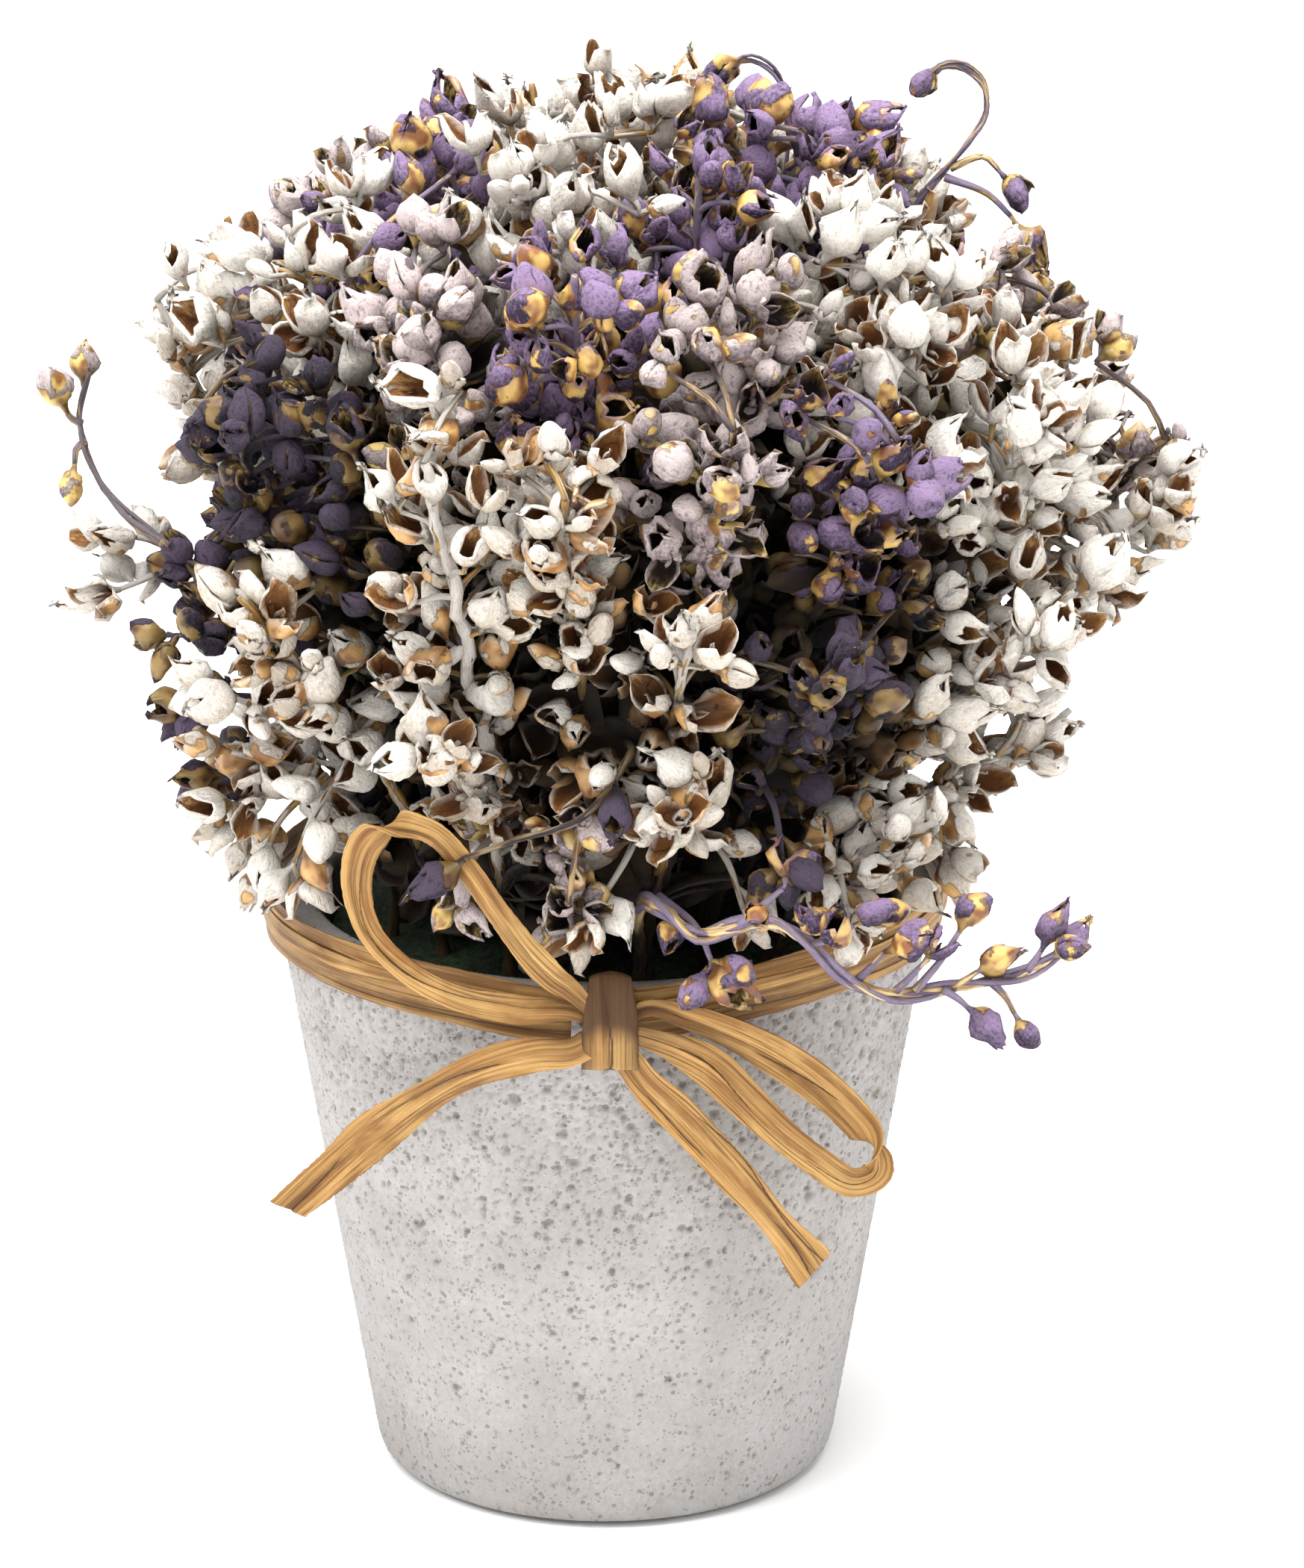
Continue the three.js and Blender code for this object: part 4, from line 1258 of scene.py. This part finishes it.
class Sprig:
    """One sprig being grown: its mesh so far, its random source and its looks."""

    def __init__(self, name, bouquet):
        self.name = name
        self.kind = name.split("_")[0]
        self.bouquet = bouquet
        self.stray = name in TWIGS
        self.size = HUSK_SIZE[self.kind]
        seed = sum(ord(letter) * (index + 7) for index, letter in enumerate(name))
        self.rng = np.random.default_rng(seed)
        self.shade = SHADES.get(name, 0.8 + 0.2 * self.rng.random())
        self.tones = TONES.get(name, STRAY_TONES if self.stray else USUAL_TONES)
        self.shape = Shape("local", "tone", "shade", "reach", "hollow", "edge", "height")
        self.shown = name in SHOWN_STEMS
        self.stem_radius = MAIN_STEM * (SHOWN_STEM_GIRTH if self.shown else 1.0)
        if self.stray:
            self.stem_radius = TWIGS[name][1] * MM
            self.line = twig_line(name)
        else:
            self.line, self.girth, self.start = head_line(name)
            self.trim()

    def trim(self):
        """End the stem inside the ball, so that husks and not a bare tip show."""
        out = np.nonzero(self.bouquet.envelope.share(self.line) > OUTERMOST_STEM)[0]
        low = self.line[:, 2] < RIM_HEIGHT + 12 * MM
        out = out[~low[out]]
        if len(out):
            keep = max(out[0], 8)
            self.line, self.girth = self.line[:keep], self.girth[:keep]

    def stalk(self, line, radii, sides, least_light=0.0):
        """A round stalk along a line."""
        points, quads, triangles = tube(line, radii, sides)
        angle = np.arange(sides) * 2 * math.pi / sides
        along = np.linspace(0.0, STALK_GRAIN * line_length(line), len(line))
        wrapped = np.empty((len(line), sides, 3))
        wrapped[..., 0] = 0.5 * np.cos(angle)
        wrapped[..., 1] = 0.5 * np.sin(angle)
        wrapped[..., 2] = along[:, None]
        local = np.vstack([wrapped.reshape(-1, 3), [0.0, 0.0, 0.0], [0.0, 0.0, along[-1]]])
        light = np.maximum(self.bouquet.painted(points), least_light)
        self.shape.add(
            points, quads, triangles, slot=1, local=local + self.rng.uniform(0, 50, 3),
            tone=self.rng.random(), shade=self.shade, reach=light, hollow=0.0, edge=0.0, height=1.0,
        )

    def husk(self, base, direction, free=False):
        """One husk on its stalk end, unless another is there. A free one may hang outside the ball."""
        shares = HUSK_SHARES[self.kind]
        kind = self.rng.choice(list(shares), p=list(shares.values()))
        templates = self.bouquet.templates[kind]
        points, quads, triangles, hollow, edge = templates[self.rng.integers(len(templates))]
        length = HUSK_LENGTH[kind] * self.size * self.rng.uniform(*HUSK_VARIETY)
        centre = base + direction * length * 0.5
        inside = free or self.stray or self.bouquet.envelope.share(centre[None])[0] < OUTERMOST_HUSK
        if not inside or not self.bouquet.clear(centre, HUSK_APART * self.size):
            return False
        if self.name != OVER_BOW and self.bouquet.hides_bow(centre):
            return False
        self.bouquet.take(centre)
        first, second = side_axes(direction)
        roll = self.rng.uniform(0, 2 * math.pi)
        across = first * math.cos(roll) + second * math.sin(roll)
        squeeze = self.rng.uniform(0.85, 1.1, 2)
        axes = np.stack([across * squeeze[0], np.cross(direction, across) * squeeze[1], direction])
        placed = base + points @ (axes * length)
        self.shape.add(
            placed, quads, triangles, slot=0, local=points + self.rng.uniform(0, 90, 3),
            tone=self.rng.uniform(*self.tones), shade=self.shade, reach=self.bouquet.painted(placed),
            hollow=hollow, edge=edge, height=points[:, 2],
        )
        return True

    def cluster(self, place, direction, count, free=False):
        """Husks on short stalks that splay from one point."""
        turn = self.rng.uniform(0, 2 * math.pi)
        first, second = side_axes(direction)
        for number in range(count):
            splay = math.radians(self.rng.uniform(22, 56) if number else self.rng.uniform(0, 20))
            around = turn + number * 2 * math.pi / max(1, count - 1) + self.rng.uniform(-0.3, 0.3)
            sideways = first * math.cos(around) + second * math.sin(around)
            heading = unit(direction * math.cos(splay) + sideways * math.sin(splay))
            reach = self.rng.uniform(0.6, 1.9) * MM
            base = place + heading * reach
            if self.husk(base, heading, free):
                bend = place + (direction * 0.5 + heading * 0.5) * reach * 0.5
                line = np.array([place, bend, base + heading * 0.25 * MM])
                self.stalk(line, [0.3 * MM, 0.26 * MM, 0.42 * MM], 5)

    def branch(self, place, axis, end, count, heading):
        """A side shoot from the stem that ends in a cluster."""
        across = end - place
        middle = place + 0.4 * across + axis * 0.12 * np.linalg.norm(across)
        line = smooth_route([place, middle, end], 6)
        self.stalk(line, np.linspace(0.40, 0.28, 6) * MM, 6)
        self.cluster(end, heading, count)

    def stem(self):
        """The main stem, knotty and a little wavy."""
        count = len(self.line)
        wave = self.rng.uniform(-0.25, 0.25, (count, 3)) * MM * (SHOWN_STEM_WAVE if self.shown else 1.0)
        wave[0] = wave[-1] = 0.0
        radii = np.linspace(1.0, 0.48, count) * self.stem_radius
        radii = radii * (1 + 0.14 * np.sin(np.arange(count) * 2.1 + self.rng.uniform(0, 6)))
        self.stalk(softened(self.line + wave, 2), radii, 8, SHOWN_STEM_LIGHT if self.shown else 0.0)

    def twig(self):
        """A slender stem of several strands that ends in its own few husks."""
        line, share = self.line, np.linspace(0.0, 1.0, len(self.line))
        radii = np.linspace(0.75, 0.4, len(line)) * self.stem_radius
        for phase in (0.0, 2.4):
            wave = np.stack([0 * share, np.cos(22 * share + phase), np.sin(22 * share + phase)], axis=1)
            self.stalk(line + wave * self.stem_radius * 0.9, radii, 7)
        tangents = unit(np.gradient(line, axis=0))
        self.cluster(line[-4], tangents[-1], TWIGS[self.name][2])

    def side_twig(self, route, clusters, last):
        """A thin bare shoot along a route, with husks in ones and twos and a last few at its end."""
        route = np.array(route) * MM
        line = smooth_route(route, 3 + int(line_length(route) / LINE_STEP))
        self.stalk(line, np.linspace(0.5, 0.3, len(line)) * MM, 7)
        tangents, firsts, _ = carried_axes(line)
        for share in np.linspace(0.4, 0.85, clusters):
            index = int(share * (len(line) - 1))
            side = firsts[index] * self.rng.choice([-1, 1]) + self.rng.normal(0, 0.4, 3)
            self.cluster(line[index], unit(side + 0.6 * tangents[index]), self.rng.integers(1, 3), free=True)
        self.cluster(line[-1], tangents[-1], last, free=True)

    def keep_clear(self):
        """Leave room in front of the stem, so that it shows."""
        for place in self.line[int(self.start / LINE_STEP)::2]:
            self.bouquet.take(place + unit(place - BALL_CENTRE) * 3 * MM)

    def head(self):
        """Side shoots all the way up the head, thickest on the side that faces out of the ball."""
        line, girth = self.line, self.girth
        tangents, firsts, seconds = carried_axes(line)
        fullness = FULLNESS.get(self.name, 1.0)
        turn = self.rng.uniform(0, 2 * math.pi)
        at, top = self.start, (len(line) - 1) * LINE_STEP
        while at < top - TIP_SPACE:
            index = min(len(line) - 2, int(at / LINE_STEP))
            place, axis = line[index], tangents[index]
            outward = unit(place - BALL_CENTRE)
            for _ in range(3):
                turn += GOLDEN_ANGLE + self.rng.uniform(-0.4, 0.4)
                radial = firsts[index] * math.cos(turn) + seconds[index] * math.sin(turn)
                facing = radial @ outward
                fewer = fullness if facing > 0.5 else 1.0
                if self.rng.random() > fewer * (0.15 + 0.85 * smoothstep(-0.7, 0.1, facing)):
                    continue
                widen = 1.35 - 0.45 * max(0.0, facing)
                length = girth[index] * widen - HUSK_ROOM + self.rng.uniform(-1.2, 1.6) * MM
                heading = unit(axis * self.rng.uniform(0.4, 1.1) + radial + self.rng.normal(0, 0.16, 3))
                end = place + heading * max(0.6 * MM, length)
                count = self.rng.integers(3, 6) if facing > -0.2 else 2
                self.branch(place, axis, end, count, unit(heading + 1.0 * axis + [0, 0, 0.3]))
            at += NODE_STEP * self.rng.uniform(0.8, 1.25)
        self.cluster(line[-1] - tangents[-1] * TIP_SPACE, tangents[-1], 5)

    def finish(self, materials):
        piece = self.shape.build(self.name + "_husks", materials[self.kind])
        stand_in(piece, self.name)


def twig_line(name):
    """The stem of a stray twig."""
    route = np.array(TWIGS[name][0]) * MM
    return smooth_route(route, 2 + int(line_length(route) / LINE_STEP))


def head_line(name):
    """The stem of a sprig in the ball, its half width and where its husks begin, measured on its CAD mesh."""
    rough, thickness = measured_line(name)
    rough, thickness = softened(rough), softened(thickness)
    count = 2 + int(line_length(rough) / LINE_STEP)
    steps = np.linalg.norm(np.diff(rough, axis=0), axis=1)
    along = np.concatenate([[0.0], np.cumsum(steps)])
    at = np.linspace(0, along[-1], count)
    girth = np.interp(at, along, thickness)
    start = at[np.nonzero(girth > STEM_GIRTH)[0][0]] - 3 * MM
    return evenly(rough, count), np.maximum(girth, 0.75 * girth.max() * (at > start)), start


def fill_ball(sprigs, bouquet):
    """More side shoots into the hollows between the heads, each from the sprig that is nearest."""
    rng = np.random.default_rng(77)
    stems = np.vstack([sprig.line for sprig in sprigs])
    owners = np.repeat(np.arange(len(sprigs)), [len(sprig.line) for sprig in sprigs])
    places = np.concatenate([np.arange(len(sprig.line)) for sprig in sprigs])
    spread = np.array([SPREAD.get(sprigs[owner].name, 1.0) for owner in owners])
    for _ in range(FILL_TRIES):
        rise = rng.uniform(math.sin(FILL_LOWEST), 1.0)
        turn = rng.uniform(0, 2 * math.pi)
        flat = math.sqrt(1 - rise * rise)
        outward = np.array([flat * math.sin(turn), -flat * math.cos(turn), rise])
        share = rng.uniform(0.5, 0.8 + 0.12 * smoothstep(0.1, 0.5, rise))
        target = BALL_CENTRE + outward * share * bouquet.envelope.at((BALL_CENTRE + outward)[None])[0]
        if target[2] < RIM_HEIGHT + 3 * MM or not bouquet.clear(target, FILL_APART):
            continue
        away = np.linalg.norm(stems - target + [0, 0, 4 * MM], axis=1) / spread
        nearest = away.argmin()
        sprig, index = sprigs[owners[nearest]], places[nearest]
        axis = unit(sprig.line[min(index + 1, len(sprig.line) - 1)] - sprig.line[max(index - 1, 0)])
        heading = unit(0.7 * outward + axis * rng.uniform(0.5, 1.2) + [0, 0, 0.2] + rng.normal(0, 0.25, 3))
        end = target - heading * 3.5 * MM
        end = end + (sprig.line[index] - end) * CLUMPING * rng.random()
        sprig.branch(sprig.line[index], axis, end, rng.integers(2, 5), heading)


def fill_core_with_shade(sprigs):
    """Dark leaves low on the stems, deep in the ball, where hardly any light reaches: drawn near black, as
    painted shade.
    """
    rng = np.random.default_rng(91)
    for sprig in sprigs:
        envelope, templates = sprig.bouquet.envelope, sprig.bouquet.templates["leaf"]
        high = sprig.line[:, 2] > RIM_HEIGHT + 6 * MM
        deep = np.nonzero((envelope.share(sprig.line) < CORE_DEPTH) & high)[0]
        if not len(deep):
            continue
        tangents = unit(np.gradient(sprig.line, axis=0))
        for index in rng.choice(deep, CORE_LEAVES):
            side = unit(rng.normal(0, 1, 3) + 0.5 * tangents[index])
            points, quads, triangles, hollow, edge = templates[rng.integers(len(templates))]
            first, second = side_axes(side)
            axes = np.stack([first, second, side]) * rng.uniform(*CORE_LEAF_LENGTHS) * MM
            placed = sprig.line[index] + points @ axes
            if envelope.share(placed).max() > CORE_REACH or placed[:, 2].min() < RIM_HEIGHT - 2 * MM:
                continue
            # A reach of 0 draws these leaves near black: painted shade.
            sprig.shape.add(
                placed, quads, triangles, slot=0, local=points + rng.uniform(0, 90, 3), tone=rng.random(),
                shade=sprig.shade, reach=0.0, hollow=hollow, edge=edge, height=points[:, 2],
            )


def add_sprigs():
    materials = paint_set()
    names = sorted(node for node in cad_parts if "_sprig_" in node)
    bouquet = Bouquet(names)
    sprigs = [Sprig(name, bouquet) for name in names]
    by_name = dict(zip(names, sprigs))
    heads = [sprig for sprig in sprigs if not sprig.stray]
    for name in sorted(TWIGS):
        by_name[name].stem()
        by_name[name].twig()
    for name, shoots in SIDE_TWIGS.items():
        for route, clusters, last in shoots:
            by_name[name].side_twig(route, clusters, last)
    for name in SHOWN_STEMS:
        by_name[name].keep_clear()
    for sprig in heads:
        sprig.stem()
        sprig.head()
    fill_ball(heads, bouquet)
    fill_core_with_shade(heads)
    for sprig in sprigs:
        sprig.finish(materials)


# ---------------------------------------------------------------- floor

FLOOR_LEVEL = -0.3 * MM
FLOOR_UNDERSIDE = -5 * MM
FLOOR_RINGS = (4.0, 2.0, 0.5)


def floor_material():
    nodes = Nodes("studio_floor")
    haze = nodes.noise(nodes.place(), 3.0, 2.0)
    colour = nodes.mix(haze, rgba(250, 250, 250), rgba(252, 252, 252))
    nodes.shader.inputs["Specular IOR Level"].default_value = 0.0
    return nodes.finish(colour, nodes.ramp(haze, 0.0, 1.0, 0.85, 0.95), nodes.bump(haze, 0.1 * MM, 0.1))


def add_floor():
    angle = np.arange(64) * 2 * math.pi / 64
    ring = np.stack([np.cos(angle), np.sin(angle), 0 * angle], axis=1)
    rings = np.stack([ring * reach + [0, 0, FLOOR_LEVEL] for reach in FLOOR_RINGS])
    points, quads, triangles = sealed(rings, (0, 0, FLOOR_UNDERSIDE), (0, 0, FLOOR_LEVEL))
    shape = Shape()
    shape.add(points, quads, triangles)
    floor = shape.build("studio_floor", [floor_material()])
    floor.data.shade_flat()


add_camera()
add_raffia()
add_pot()
add_foam()
add_sprigs()
add_floor()
add_lights()
